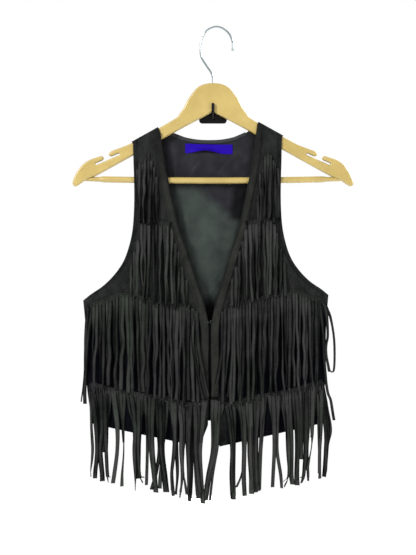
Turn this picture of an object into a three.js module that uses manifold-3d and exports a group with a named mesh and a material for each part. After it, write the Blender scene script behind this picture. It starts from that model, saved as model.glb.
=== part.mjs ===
// A fringed suede vest on a flat hanger, which hangs by its underside from a small wall hook.
// Millimetres. +Z is up, +X is the viewer's right, +Y runs from the viewer to the wall.
// The origin is the middle of the wall hook's back face. "left" and "right" are the wearer's.
import * as THREE from 'three';
import { mergeVertices } from 'three/addons/utils/BufferGeometryUtils.js';
import Module from 'manifold-3d';

const wasm = await Module();
wasm.setup();

// Cloth
const SEAM_GAP = 0.3;
const SUEDE = 1.6;
const LINING = 1.0;
const VEST_CENTRE_X = -4.65;
const WIDER_SIDE = 1.034;
const NARROWER_SIDE = 0.966;
const SHIFT_SLOPE = 0.0225;
const BACK_REAR_Y = -1.8;
const SIDE_SEAM_Y = -10.65;
const SIDE_SEAM_HALF = 1.35;
const SEAM_TURN = 1.2;
const FRONT_ROUNDING = 3.5;
const BACK_ROUNDING = 6;
const BACK_ARMHOLE_INSET = 2.5;

// Hanger
const HANGER_MID_Y = -11;
const HANGER_THICK = 12;
const HANGER_EDGE = 3;
const RIDGE_GAP = 0.4;
const BAR_RADIUS = 4.9;
const BAR_NECK = 3.5;
const BAR_HALF = 203;
const BAR_END_Z = -109;
const BAR_SAG = 2.6;
const SOCKET_RADIUS = 4.4;
const SOCKET_FROM_X = 178;
const WIRE_RADIUS = 1.5;
const WIRE_FOOT_Z = 22.3;
const WIRE_HOLE_RADIUS = 1.95;

// Wall hook
const PLATE_SIZE = 43.4;
const PLATE_THICK = 4;
const PLATE_CORNER = 5;
const PRONG_RADIUS = 2.3;

// Fringe
const HEADER_GAP = 0.5;
const HEADER_THICK = 1.4;
const HEADER_TALL = 7;
const STRIP_THICK = 1.0;
const STRIP_WIDE = 5;
const CENTRE_STRIP_WIDE = 11.6;
const NEAR_LAYER = 3.7;
const FAR_LAYER = 6.5;
const LEAN_START = 10;
const LEAN_RUN = 30;

// Neck label, binding and closure
const LABEL = { wide: 74, tall: 15, thick: 1, x: -6.2, topZ: -55, curl: 3.2 };
const BINDING = { leg: 4, thick: 1 };
const CLOSURE = { z: -331.7, wire: 0.4, eyeWire: 0.5, eyeRadius: 2.4, curl: 1.25 };

// Half of the hanger's outline, from the top of its bell out along the arm and back underneath
const HANGER_OUTLINE = [
  { x: 0, z: 40 }, { x: 10, z: 39 }, { x: 18.6, z: 36.4 }, { x: 25.6, z: 31.8 }, { x: 31.2, z: 25.4 },
  { x: 39.1, z: 14.3 }, { x: 45.4, z: 1.7 }, { x: 53.3, z: -9.3 }, { x: 62.9, z: -18 }, { x: 123.1, z: -51.6 },
  { x: 160.6, z: -67.9 }, { x: 190.7, z: -79.1 }, { x: 199.5, z: -84 }, { x: 206.7, z: -91 },
  { x: 213, z: -100.5 }, { x: 217.5, z: -111 }, { x: 218.6, z: -117 }, { x: 216.6, z: -120.2 },
  { x: 211.6, z: -119.9 }, { x: 196.2, z: -109.8 }, { x: 177.5, z: -101.7 }, { x: 121.2, z: -70.7 },
  { x: 54.9, z: -33.8 }, { x: 0, z: -4.7 },
];
const RIDGE = { fromX: 62.9, fromZ: -18, toX: 123.1, toZ: -51.6 };

// A strap notch: an undercut slot with rounded prongs over it. x runs along the arm, y out of its top edge
const NOTCH = { x: 164.2, z: -78.4, slope: -23.4 };
const NOTCH_OUTLINE = [
  { x: -19.4, y: -1.5 }, { x: 19.4, y: -1.5 }, { x: 20.4, y: 0 }, { x: 19.4, y: 1.5 }, { x: 7.3, y: 1.5 },
  { x: 4.8, y: 3.2 }, { x: 4.8, y: 6 }, { x: 7.6, y: 8.4 }, { x: 7.6, y: 15 }, { x: -7.6, y: 15 },
  { x: -7.6, y: 8.4 }, { x: -4.8, y: 6 }, { x: -4.8, y: 3.2 }, { x: -7.3, y: 1.5 }, { x: -19.4, y: 1.5 },
  { x: -20.4, y: 0 },
];

// The wire hook's middle line
const WIRE_LINE = [
  { x: 0, z: WIRE_FOOT_Z }, { x: 0, z: 40.6 }, { x: -1.6, z: 54 }, { x: -9.5, z: 66.5 }, { x: -17.3, z: 79 },
  { x: -19.6, z: 92 }, { x: -17.4, z: 108.5 }, { x: -10.9, z: 120.8 }, { x: 0.5, z: 127.4 },
  { x: 12, z: 127 }, { x: 24.2, z: 118.4 }, { x: 30, z: 106 }, { x: 31, z: 92.4 },
];

// The wall hook's prong: out of the plate, under the hanger and up in front of it
const PRONG_LINE = [
  { y: -2, z: -15 }, { y: -7, z: -11.4 }, { y: -11, z: -8.7 }, { y: -14.5, z: -7.7 }, { y: -17.8, z: -7.5 },
  { y: -20, z: -4 }, { y: -20.5, z: 6.1 },
];

// Each level of a front, from the hem up: its side or armhole edge, and its centre or V-neck edge
const FRONT_LEVELS = [
  { edgeX: 177.1, edgeZ: -489.8, innerX: 15.5, innerZ: -524.7 },
  { edgeX: 182, edgeZ: -460, innerX: 3, innerZ: -491.4 },
  { edgeX: 186, edgeZ: -425, innerX: 1.4, innerZ: -440 },
  { edgeX: 186.8, edgeZ: -385, innerX: 1.1, innerZ: -388 },
  { edgeX: 187.6, edgeZ: -336, innerX: 1.1, innerZ: -337 },
  { edgeX: 191.1, edgeZ: -294, innerX: 9.8, innerZ: -297 },
  { edgeX: 178.5, edgeZ: -284.2, innerX: 13.8, innerZ: -285 },
  { edgeX: 160.5, edgeZ: -272, innerX: 18, innerZ: -272 },
  { edgeX: 143.5, edgeZ: -255, innerX: 23.6, innerZ: -255 },
  { edgeX: 130, edgeZ: -235, innerX: 29.6, innerZ: -235 },
  { edgeX: 121.2, edgeZ: -210.5, innerX: 37.4, innerZ: -210 },
  { edgeX: 116, edgeZ: -184, innerX: 46.7, innerZ: -184 },
  { edgeX: 113.9, edgeZ: -150, innerX: 54, innerZ: -150 },
  { edgeX: 113.9, edgeZ: -115, innerX: 61.6, innerZ: -115 },
  { edgeX: 115.1, edgeZ: -78, innerX: 69, innerZ: -76 },
];
const SHOULDER = { neckX: 77.5, outerX: 117 };
const BACK_HEM_Z = -486.7;
const BACK_LEVEL_Z = [
  BACK_HEM_Z, -455, -425, -385, -336, -294, -284.2, -272, -255, -235, -210.5, -184, -150, -115,
];

// The depth of a front's face: down its middle, and along its edge
const FRONT_MIDDLE = [
  { z: -530, y: -22 }, { z: -400, y: -25 }, { z: -300, y: -26 }, { z: -200, y: -23 }, { z: -110, y: -20 },
  { z: -25, y: -19 },
];
const FRONT_EDGE = [
  { z: -294, y: SIDE_SEAM_Y - SIDE_SEAM_HALF }, { z: -289, y: -15.5 }, { z: -284, y: -18 }, { z: -272, y: -20 }, { z: -255, y: -21 },
  { z: -210, y: -21 }, { z: -150, y: -20 }, { z: -46, y: -19 },
];
const BACK_EDGE = [
  { z: -294, y: SIDE_SEAM_Y + SIDE_SEAM_HALF }, { z: -284, y: -6 }, { z: -272, y: -4 }, { z: -250, y: -2.4 },
  { z: -200, y: BACK_REAR_Y },
];
const EDGE_TURN = [{ z: -290, y: 1 }, { z: -284, y: 0.5 }, { z: -272, y: 0 }];
const SHIFT_FADE = [{ z: -490, y: 0 }, { z: -330, y: 1 }, { z: -200, y: 1 }, { z: -70, y: 0 }];

// Across a front, as shares of the way from its inner edge to its side
const FRONT_COLUMNS = [0, 0.16, 0.34, 0.52, 0.68, 0.8, 0.89, 0.95, 0.985, 1];
const BACK_COLUMNS = [0, 0.11, 0.22, 0.33, 0.44, 0.56, 0.67, 0.8, 0.9, 0.96, 0.99, 1];
const LINING_REACH = 0.8;
const BINDING_REACH = 0.44;

// The back neckline, up to where it rises straight to the shoulder seam
const NECKLINE = [{ x: 0, z: -49.6 }, { x: 20, z: -48.6 }, { x: 40, z: -44.6 }, { x: 56, z: -37.8 }];

// The four rows of fringe: where each is sewn on, where its strands end, and how many hang on each side
const FRINGE_ROWS = [
  {
    row: 1, strands: 7, steps: 3, from: 76, to: 107,
    root: [{ x: 73, z: -65 }, { x: 110, z: -65 }],
    end: [{ x: 73, z: -176 }, { x: 110, z: -171 }],
  },
  {
    row: 2, strands: 16, steps: 3, from: 36, to: 118.5,
    root: [{ x: 33, z: -262 }, { x: 57, z: -176 }, { x: 104, z: -170 }, { x: 121.5, z: -239 }],
    end: [{ x: 33, z: -306 }, { x: 80, z: -297 }, { x: 122, z: -286 }],
  },
  {
    row: 3, strands: 31, steps: 3, from: 18.2, to: 182, centreStripX: 8.4,
    root: [
      { x: 9, z: -342 }, { x: 15.5, z: -316 }, { x: 28, z: -305 }, { x: 53, z: -299 }, { x: 85, z: -293 },
      { x: 105, z: -287 }, { x: 113, z: -282.5 }, { x: 140, z: -284 }, { x: 157, z: -292 }, { x: 184, z: -300.5 },
    ],
    end: [{ x: 20, z: -457 }, { x: 39, z: -456 }, { x: 68, z: -445 }, { x: 105, z: -437 }, { x: 174, z: -422 }],
  },
  {
    row: 4, strands: 29, steps: 3, from: 20, to: 177,
    root: [
      { x: 17, z: -458 }, { x: 39, z: -454 }, { x: 62, z: -446 }, { x: 90, z: -442 }, { x: 127, z: -436 },
      { x: 149, z: -430 }, { x: 180, z: -422 },
    ],
    end: [{ x: 15, z: -611 }, { x: 85, z: -594 }, { x: 175, z: -570 }],
  },
];

// Looks
function finish(color, roughness, metalness = 0) {
  return new THREE.MeshStandardMaterial({ color, roughness, metalness });
}
const suede = () => finish(0x1d1f22, 0.92);
const fringeSuede = () => finish(0x26282a, 0.9);
const satin = () => finish(0x39403f, 0.45);
const blueTape = () => finish(0x2b14b8, 0.6);
const moulded = () => finish(0xdcc078, 0.45);
const wire = () => finish(0x9aa3a5, 0.3, 1);
const blackGloss = () => finish(0x0c0c0e, 0.2);

// Reads a short table at a place between its rows
function between(table, at, key, value) {
  const rows = [...table].sort((a, b) => a[key] - b[key]);
  if (at <= rows[0][key]) return rows[0][value];
  for (let i = 1; i < rows.length; i += 1) {
    if (at <= rows[i][key]) {
      const share = (at - rows[i - 1][key]) / (rows[i][key] - rows[i - 1][key]);
      return THREE.MathUtils.lerp(rows[i - 1][value], rows[i][value], share);
    }
  }
  return rows[rows.length - 1][value];
}

// A steady, uneven number from -1 to 1 for a strand
const uneven = (seed) => {
  const wave = Math.sin(seed * 12.9898) * 43758.5453;
  return 2 * (wave - Math.floor(wave)) - 1;
};

const frontEdgeX = (z) => between(FRONT_LEVELS, z, 'edgeZ', 'edgeX');
const rounded = (share, power) => (1 - Math.min(1, Math.abs(share)) ** power) ** (1 / power);

// The depth of a front's outer face at a place on one half, x out from the middle
function frontY(x, z) {
  const edge = between(FRONT_EDGE, z, 'z', 'y');
  const middle = between(FRONT_MIDDLE, z, 'z', 'y');
  return THREE.MathUtils.lerp(edge, middle, rounded(x / frontEdgeX(z), FRONT_ROUNDING));
}

function backY(share, z) {
  return THREE.MathUtils.lerp(between(BACK_EDGE, z, 'z', 'y'), BACK_REAR_Y, rounded(share, BACK_ROUNDING));
}

// Puts a place of the even half pattern where the uneven vest has it. side is 1 on the viewer's right
function place(side, x, y, z) {
  const across = side * x * (side < 0 ? WIDER_SIDE : NARROWER_SIDE);
  const shift = SHIFT_SLOPE * across * between(SHIFT_FADE, z, 'z', 'y');
  return new THREE.Vector3(VEST_CENTRE_X + across, y, z + shift);
}

// The hanger's straight shoulder line, and a place so far square to it
const RIDGE_SLOPE = Math.atan2(RIDGE.fromZ - RIDGE.toZ, RIDGE.toX - RIDGE.fromX);
function onRidge(side, x, y, up) {
  const across = VEST_CENTRE_X + side * x * (side < 0 ? WIDER_SIDE : NARROWER_SIDE);
  const z = RIDGE.fromZ - (Math.abs(across) - RIDGE.fromX) * Math.tan(RIDGE_SLOPE);
  return new THREE.Vector3(across + side * up * Math.sin(RIDGE_SLOPE), y, z + up * Math.cos(RIDGE_SLOPE));
}

// The cloth's way over the hanger from one side of the board: depth from the board's middle, height over its edge
function overRidge(sideDepth) {
  const top = RIDGE_GAP + SUEDE;
  const cornerY = HANGER_THICK / 2 - HANGER_EDGE;
  const way = [0, 30, 60, 90].map((degrees) => {
    const turn = THREE.MathUtils.degToRad(degrees);
    return {
      out: cornerY + (sideDepth - cornerY) * Math.cos(turn),
      up: (HANGER_EDGE + top) * Math.sin(turn) - HANGER_EDGE,
    };
  });
  return [...way, { out: SEAM_GAP / 2, up: top }];
}

function geometryOf(points, triangles) {
  const geometry = new THREE.BufferGeometry();
  const positions = points.flatMap((p) => [p.x, p.y, p.z]);
  geometry.setAttribute('position', new THREE.Float32BufferAttribute(positions, 3));
  geometry.setIndex(triangles.flat());
  return geometry;
}

// A wall of even thickness behind a grid of outer points. Rows go up and columns to +X where it faces the viewer
function wall(grid, thick, turned = false) {
  const rows = grid.length;
  const columns = grid[0].length;
  const outer = grid.flat();
  const inner = [];
  for (let i = 0; i < rows; i += 1) {
    for (let j = 0; j < columns; j += 1) {
      const along = grid[i][Math.min(j + 1, columns - 1)].clone().sub(grid[i][Math.max(j - 1, 0)]);
      const up = grid[Math.min(i + 1, rows - 1)][j].clone().sub(grid[Math.max(i - 1, 0)][j]);
      const facing = along.cross(up).normalize().multiplyScalar(turned ? -thick : thick);
      inner.push(grid[i][j].clone().sub(facing));
    }
  }
  const o = (i, j) => i * columns + j;
  const n = (i, j) => rows * columns + o(i, j);
  const quads = [];
  for (let i = 0; i + 1 < rows; i += 1) {
    for (let j = 0; j + 1 < columns; j += 1) {
      quads.push([o(i, j), o(i, j + 1), o(i + 1, j + 1), o(i + 1, j)]);
      quads.push([n(i, j), n(i + 1, j), n(i + 1, j + 1), n(i, j + 1)]);
    }
    quads.push([o(i, 0), o(i + 1, 0), n(i + 1, 0), n(i, 0)]);
    quads.push([o(i, columns - 1), n(i, columns - 1), n(i + 1, columns - 1), o(i + 1, columns - 1)]);
  }
  for (let j = 0; j + 1 < columns; j += 1) {
    quads.push([o(0, j), n(0, j), n(0, j + 1), o(0, j + 1)]);
    quads.push([o(rows - 1, j), o(rows - 1, j + 1), n(rows - 1, j + 1), n(rows - 1, j)]);
  }
  const triangles = quads.flatMap(([a, b, c, d]) => (
    turned ? [[a, c, b], [a, d, c]] : [[a, b, c], [a, c, d]]));
  return geometryOf([...outer, ...inner], triangles);
}

function toSolid(geometry) {
  const bare = geometry.clone();
  bare.deleteAttribute('normal');
  bare.deleteAttribute('uv');
  const merged = mergeVertices(bare, 1e-4);
  const vertProperties = Float32Array.from(merged.attributes.position.array);
  const triVerts = Uint32Array.from(merged.index.array);
  return new wasm.Manifold(new wasm.Mesh({ numProp: 3, vertProperties, triVerts }));
}

function fromSolid(solid) {
  const mesh = solid.getMesh();
  const geometry = new THREE.BufferGeometry();
  geometry.setAttribute('position', new THREE.BufferAttribute(Float32Array.from(mesh.vertProperties), 3));
  geometry.setIndex(new THREE.BufferAttribute(Uint32Array.from(mesh.triVerts), 1));
  return geometry;
}

const part = new THREE.Group();
function add(name, geometry, material) {
  const mesh = new THREE.Mesh(geometry, material);
  mesh.name = name;
  part.add(mesh);
}

const roundShape = (radius, sides) => new THREE.Shape(
  Array.from({ length: sides }, (_, i) => {
    const turn = (2 * Math.PI * i) / sides;
    return new THREE.Vector2(radius * Math.cos(turn), radius * Math.sin(turn));
  }),
);

function tube(points, radius, sides, steps) {
  const extrudePath = new THREE.CatmullRomCurve3(points, false, 'centripetal');
  return new THREE.ExtrudeGeometry(roundShape(radius, sides), { steps, extrudePath, bevelEnabled: false });
}

// Stands a flat outline up in the XZ plane, its rear face at y
function standing(shape, rearY, settings) {
  const geometry = new THREE.ExtrudeGeometry(shape, settings);
  geometry.rotateX(Math.PI / 2);
  geometry.computeBoundingBox();
  return geometry.translate(0, rearY - geometry.boundingBox.max.y, 0);
}

function hangerBoard() {
  const half = HANGER_OUTLINE.map(({ x, z }) => new THREE.Vector2(x, z));
  const mirrored = half.slice(1, -1).reverse().map((p) => new THREE.Vector2(-p.x, p.y));
  const rearY = HANGER_MID_Y + HANGER_THICK / 2;
  let board = toSolid(standing(new THREE.Shape([...half, ...mirrored].reverse()), rearY, {
    depth: HANGER_THICK - 2 * HANGER_EDGE, bevelThickness: HANGER_EDGE, bevelSize: HANGER_EDGE,
    bevelOffset: -HANGER_EDGE, bevelSegments: 2,
  }));
  for (const side of [-1, 1]) {
    const notch = standing(
      new THREE.Shape(NOTCH_OUTLINE.map(({ x, y }) => new THREE.Vector2(x, y))),
      0,
      { depth: 2 * HANGER_THICK, bevelEnabled: false },
    );
    notch.rotateY(THREE.MathUtils.degToRad(-NOTCH.slope * side)).translate(side * NOTCH.x, 0, NOTCH.z);
    const socketLong = BAR_HALF + SEAM_GAP - SOCKET_FROM_X;
    const socket = new THREE.CylinderGeometry(SOCKET_RADIUS, SOCKET_RADIUS, socketLong, 12);
    socket.rotateZ(Math.PI / 2).translate(side * (SOCKET_FROM_X + socketLong / 2), HANGER_MID_Y, BAR_END_Z - 0.2);
    board = board.subtract(toSolid(notch)).subtract(toSolid(socket));
  }
  const hole = new THREE.CylinderGeometry(WIRE_HOLE_RADIUS, WIRE_HOLE_RADIUS, 30, 12);
  hole.rotateX(Math.PI / 2).translate(0, HANGER_MID_Y, WIRE_FOOT_Z - SEAM_GAP + 15);
  return fromSolid(board.subtract(toSolid(hole)));
}

function trouserBar() {
  const neckFrom = 186;
  const stepAt = 174;
  const half = [
    { x: 60, r: BAR_RADIUS }, { x: 120, r: BAR_RADIUS }, { x: stepAt - 3, r: BAR_RADIUS }, { x: stepAt, r: 4.3 },
    { x: neckFrom, r: BAR_NECK + 0.2 }, { x: BAR_HALF, r: BAR_NECK }, { x: BAR_HALF, r: 0 },
  ];
  const profile = [
    ...half.map(({ x, r }) => [r, x]).reverse(), [BAR_RADIUS, 0], ...half.map(({ x, r }) => [r, -x]),
  ];
  const bar = new THREE.LatheGeometry(profile.map(([r, x]) => new THREE.Vector2(r, x)).reverse(), 10);
  bar.rotateZ(-Math.PI / 2);
  const spots = bar.attributes.position;
  for (let i = 0; i < spots.count; i += 1) {
    const sag = BAR_SAG * (1 - (spots.getX(i) / BAR_HALF) ** 2);
    spots.setY(i, spots.getY(i) + HANGER_MID_Y);
    spots.setZ(i, spots.getZ(i) + BAR_END_Z - sag);
  }
  return fromSolid(toSolid(bar));
}

function wireHook() {
  const line = WIRE_LINE.map(({ x, z }) => new THREE.Vector3(x, HANGER_MID_Y, z));
  const tip = line[line.length - 1];
  const bulb = new THREE.SphereGeometry(2.3, 8, 6).translate(tip.x, tip.y, tip.z);
  return fromSolid(toSolid(tube(line, WIRE_RADIUS, 8, 32)).add(toSolid(bulb)));
}

function wallHook() {
  const half = PLATE_SIZE / 2;
  const flat = half - PLATE_CORNER;
  const outline = new THREE.Shape();
  outline.absarc(flat, flat, PLATE_CORNER, 0, Math.PI / 2);
  outline.absarc(-flat, flat, PLATE_CORNER, Math.PI / 2, Math.PI);
  outline.absarc(-flat, -flat, PLATE_CORNER, Math.PI, 1.5 * Math.PI);
  outline.absarc(flat, -flat, PLATE_CORNER, 1.5 * Math.PI, 2 * Math.PI);
  const plate = standing(outline, 0, { depth: PLATE_THICK, bevelEnabled: false, curveSegments: 4 });
  const line = PRONG_LINE.map(({ y, z }) => new THREE.Vector3(0, y, z));
  const tip = line[line.length - 1];
  const end = new THREE.SphereGeometry(PRONG_RADIUS, 10, 6).translate(tip.x, tip.y, tip.z);
  return fromSolid(toSolid(plate).add(toSolid(tube(line, PRONG_RADIUS, 10, 14))).add(toSolid(end)));
}

// One front: flat levels up to the shoulder, then over the hanger to the shoulder seam
function frontPanel(side) {
  const rows = FRONT_LEVELS.map(({ edgeX, edgeZ, innerX, innerZ }) => {
    const turn = between(EDGE_TURN, edgeZ, 'z', 'y');
    const lastX = edgeX - SEAM_TURN * (1 - turn);
    const row = FRONT_COLUMNS.map((share) => {
      const x = THREE.MathUtils.lerp(innerX, lastX, share);
      const z = THREE.MathUtils.lerp(innerZ, edgeZ, share);
      return place(side, x, share === 1 ? between(FRONT_EDGE, edgeZ, 'z', 'y') : frontY(x, z), z);
    });
    const edgeY = between(FRONT_EDGE, edgeZ, 'z', 'y') + SEAM_TURN * turn;
    return [...row, place(side, edgeX, edgeY, edgeZ)];
  });
  const clear = HANGER_THICK / 2 + RIDGE_GAP + SUEDE;
  for (const { out, up } of overRidge(clear)) {
    rows.push([...FRONT_COLUMNS, 1].map((share, j) => {
      const lastX = SHOULDER.outerX - (j < FRONT_COLUMNS.length ? SEAM_TURN : 0);
      return onRidge(side, THREE.MathUtils.lerp(SHOULDER.neckX, lastX, share), HANGER_MID_Y - out, up);
    }));
  }
  return wall(rows, SUEDE, side < 0);
}

const backEdgeX = (z) => frontEdgeX(z) - BACK_ARMHOLE_INSET * (1 - between(EDGE_TURN, z, 'z', 'y'));

// Where the back's flat part ends and its seam allowance turns
const backFoldX = (z) => backEdgeX(z) - SEAM_TURN * (1 - between(EDGE_TURN, z, 'z', 'y'));

// The height of the back's top edge over a column: the neckline, or just under the hanger's shoulder line
function backTop(side, share) {
  const x = share * (SHOULDER.outerX - BACK_ARMHOLE_INSET);
  const shoulder = onRidge(side, Math.max(x, SHOULDER.neckX), BACK_REAR_Y, -HANGER_EDGE);
  if (x >= SHOULDER.neckX) return shoulder;
  const low = NECKLINE[NECKLINE.length - 1];
  const neck = place(side, Math.min(x, low.x), BACK_REAR_Y, between(NECKLINE, x, 'x', 'z'));
  return neck.lerp(shoulder, Math.max(0, (x - low.x) / (SHOULDER.neckX - low.x)));
}

// A row of the back or its lining across both halves, from the viewer's left to right
const acrossBack = (columns, make) => [
  ...columns.slice(1).reverse().map((share) => make(-1, share)),
  ...columns.map((share) => make(1, share)),
];

function backPanel() {
  const columns = [...BACK_COLUMNS, 'edge'];
  const rows = BACK_LEVEL_Z.map((z) => acrossBack(columns, (side, share) => {
    const turn = between(EDGE_TURN, z, 'z', 'y');
    if (share === 'edge') return place(side, backEdgeX(z), between(BACK_EDGE, z, 'z', 'y') - SEAM_TURN * turn, z);
    return place(side, share * backFoldX(z), backY(share, z), z);
  }));
  const highest = BACK_LEVEL_Z[BACK_LEVEL_Z.length - 1];
  for (const share of [0.5, 1]) {
    rows.push(acrossBack(columns, (side, column) => {
      const edge = column === 'edge' ? backEdgeX(highest) : column * backFoldX(highest);
      return place(side, edge, BACK_REAR_Y, highest).lerp(backTop(side, column === 'edge' ? 1 : column), share);
    }));
    if (share === 1) {
      rows[rows.length - 1][0].x -= SEAM_TURN / 2;
      rows[rows.length - 1][rows[0].length - 1].x += SEAM_TURN / 2;
    }
  }
  let back = toSolid(wall(rows, SUEDE, true));
  const clear = BACK_REAR_Y - HANGER_MID_Y;
  for (const side of [-1, 1]) {
    const way = [{ out: clear, up: -HANGER_EDGE - 2 }, ...overRidge(clear)];
    const strip = way.map(({ out, up }) => [0, 0.35, 0.7, 1].map((share) => {
      const x = THREE.MathUtils.lerp(SHOULDER.neckX, SHOULDER.outerX - BACK_ARMHOLE_INSET, share);
      return onRidge(side, x, HANGER_MID_Y + out, up);
    }));
    back = back.add(toSolid(wall(strip, SUEDE, side > 0)));
  }
  return fromSolid(back);
}

function backLining() {
  const columns = BACK_COLUMNS.filter((share) => share <= LINING_REACH);
  const levels = [BACK_HEM_Z + 9, ...BACK_LEVEL_Z.slice(1)];
  const front = SUEDE + SEAM_GAP + LINING;
  const rows = levels.map((z) => acrossBack(columns, (side, share) => (
    place(side, share * backFoldX(z), backY(share, z) - front, z)
  )));
  rows.push(acrossBack(columns, (side, share) => {
    const top = backTop(side, share);
    return new THREE.Vector3(top.x, BACK_REAR_Y - front, top.z - (share > 0.6 ? 1.5 : 0));
  }));
  return wall(rows, LINING);
}

// The binding folds over the back neckline, with one leg on each side of it
function neckBinding() {
  const rear = BACK_REAR_Y + SEAM_GAP;
  const front = BACK_REAR_Y - SUEDE - LINING - 2 * SEAM_GAP;
  const { leg, thick } = BINDING;
  const section = [
    [rear + thick, -leg], [rear + thick, SEAM_GAP + thick],
    [front - thick, SEAM_GAP + thick], [front - thick, -leg],
    [front, -leg], [front, SEAM_GAP], [rear, SEAM_GAP], [rear, -leg],
  ];
  const spots = acrossBack(BACK_COLUMNS.filter((share) => share <= BINDING_REACH), backTop);
  const stations = spots.length - 1;
  const points = spots.flatMap((spot, i) => {
    const along = spots[Math.min(i + 1, stations)].clone().sub(spots[Math.max(i - 1, 0)]);
    const turn = Math.atan2(along.z, along.x);
    return section.map(([y, up]) => (
      new THREE.Vector3(spot.x - up * Math.sin(turn), y, spot.z + up * Math.cos(turn))));
  });
  const n = section.length;
  const triangles = [];
  for (let i = 0; i < stations; i += 1) {
    for (let k = 0; k < n; k += 1) {
      const [a, b] = [i * n + k, i * n + ((k + 1) % n)];
      triangles.push([a, b + n, a + n], [a, b, b + n]);
    }
  }
  const flat = THREE.ShapeUtils.triangulateShape(section.map(([y, up]) => new THREE.Vector2(y, up)), []);
  const last = stations * n;
  for (const [a, b, c] of flat) triangles.push([a, c, b], [last + a, last + b, last + c]);
  return geometryOf(points, triangles);
}

// The neck label lies on the lining, with the middle of its lower edge curled away
function neckLabel() {
  const rows = [];
  for (const down of [1, 0.72, 0.4, 0]) {
    rows.push([0, 0.2, 0.4, 0.55, 0.75, 1].map((share) => {
      const lift = LABEL.curl * Math.sin(Math.PI * share) * Math.max(0, down - 0.35) ** 1.5;
      const rearY = BACK_REAR_Y - SUEDE - LINING - 2 * SEAM_GAP;
      const x = LABEL.x + LABEL.wide * (share - 0.5);
      return new THREE.Vector3(x, rearY - LABEL.thick - lift, LABEL.topZ - LABEL.tall * down + lift * 0.5);
    }));
  }
  return wall(rows, LABEL.thick);
}

function closureEye() {
  const ring = new THREE.TorusGeometry(CLOSURE.eyeRadius, CLOSURE.eyeWire, 6, 16);
  const y = frontY(3, CLOSURE.z) - SEAM_GAP - CLOSURE.eyeWire;
  ring.rotateX(Math.PI / 2).scale(1.25, 1, 1);
  return ring.translate(VEST_CENTRE_X + CLOSURE.eyeRadius * 1.25, y, CLOSURE.z);
}

function closureHook() {
  const eyeY = frontY(3, CLOSURE.z) - SEAM_GAP - CLOSURE.eyeWire;
  const { curl, wire: radius, z } = CLOSURE;
  const flat = frontY(6, z) - SEAM_GAP - radius;
  const line = [[-9, flat], [-6, flat], [-3.4, flat - 0.5], [-1.2, eyeY - curl]];
  for (const degrees of [90, 50, 10, -30, -70]) {
    const turn = THREE.MathUtils.degToRad(degrees);
    line.push([curl * Math.cos(turn), eyeY - curl * Math.sin(turn)]);
  }
  return tube(line.map(([x, y]) => new THREE.Vector3(VEST_CENTRE_X + x, y, z)), radius, 6, 18);
}

// How far a strand has swung out from the cloth, so far below its root
function lean(below, layer) {
  const leaning = THREE.MathUtils.smoothstep(below, LEAN_START, LEAN_START + LEAN_RUN);
  return THREE.MathUtils.lerp(HEADER_GAP + HEADER_THICK / 2, layer, leaning);
}

// One strand: a flat strip of four sides that hangs from its root, sways a little and turns a little
function strand(side, { x, wide, topZ, endZ, steps, layer, shift, twist }) {
  const long = topZ - endZ;
  const grip = 2;
  const points = [];
  for (let i = 0; i <= steps; i += 1) {
    const share = i / steps;
    const z = topZ - long * share;
    const away = shift * share ** 2;
    const depth = Math.min(frontY(x + away - wide / 2, z), frontY(x + away + wide / 2, z), frontY(x, z));
    const y = depth - lean(i === 0 ? 0 : long * share - grip, layer);
    const turn = twist * share;
    const [u0, v0] = [wide / 2, STRIP_THICK / 2];
    for (const [u, v] of [[-u0, -v0], [u0, -v0], [u0, v0], [-u0, v0]]) {
      const across = u * Math.cos(turn) - v * Math.sin(turn);
      const deep = u * Math.sin(turn) + v * Math.cos(turn);
      points.push(place(side, x + away + across, y + deep, z));
    }
  }
  const triangles = [];
  for (let i = 0; i < steps; i += 1) {
    for (let k = 0; k < 4; k += 1) {
      const [a, b] = [4 * i + k, 4 * i + ((k + 1) % 4)];
      triangles.push([a, a + 4, b + 4], [a, b + 4, b]);
    }
  }
  const end = 4 * steps;
  triangles.push([0, 1, 2], [0, 2, 3], [end, end + 2, end + 1], [end, end + 3, end + 2]);
  const wound = side < 0 ? triangles.map(([a, b, c]) => [a, c, b]) : triangles;
  return toSolid(geometryOf(points, wound));
}

// The strip that a row's strands hang from follows its seam, a little off the cloth
function fringeHeader(side, root) {
  const stops = [];
  for (let i = 0; i + 1 < root.length; i += 1) {
    const [a, b] = [root[i], root[i + 1]];
    const pieces = Math.max(1, Math.round(Math.hypot(b.x - a.x, b.z - a.z) / 14));
    for (let k = 0; k < pieces; k += 1) {
      stops.push({ x: THREE.MathUtils.lerp(a.x, b.x, k / pieces), z: THREE.MathUtils.lerp(a.z, b.z, k / pieces) });
    }
  }
  stops.push(root[root.length - 1]);
  const low = stops.map((stop, i) => {
    const [a, b] = [stops[Math.max(0, i - 1)], stops[Math.min(stops.length - 1, i + 1)]];
    const long = Math.hypot(b.x - a.x, b.z - a.z);
    return { x: stop.x + (HEADER_TALL * (b.z - a.z)) / long, z: stop.z - (HEADER_TALL * (b.x - a.x)) / long };
  });
  const out = (stop) => place(side, stop.x, frontY(stop.x, stop.z) - HEADER_GAP - HEADER_THICK, stop.z);
  return toSolid(wall([low.map(out), stops.map(out)], HEADER_THICK, side < 0));
}

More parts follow.
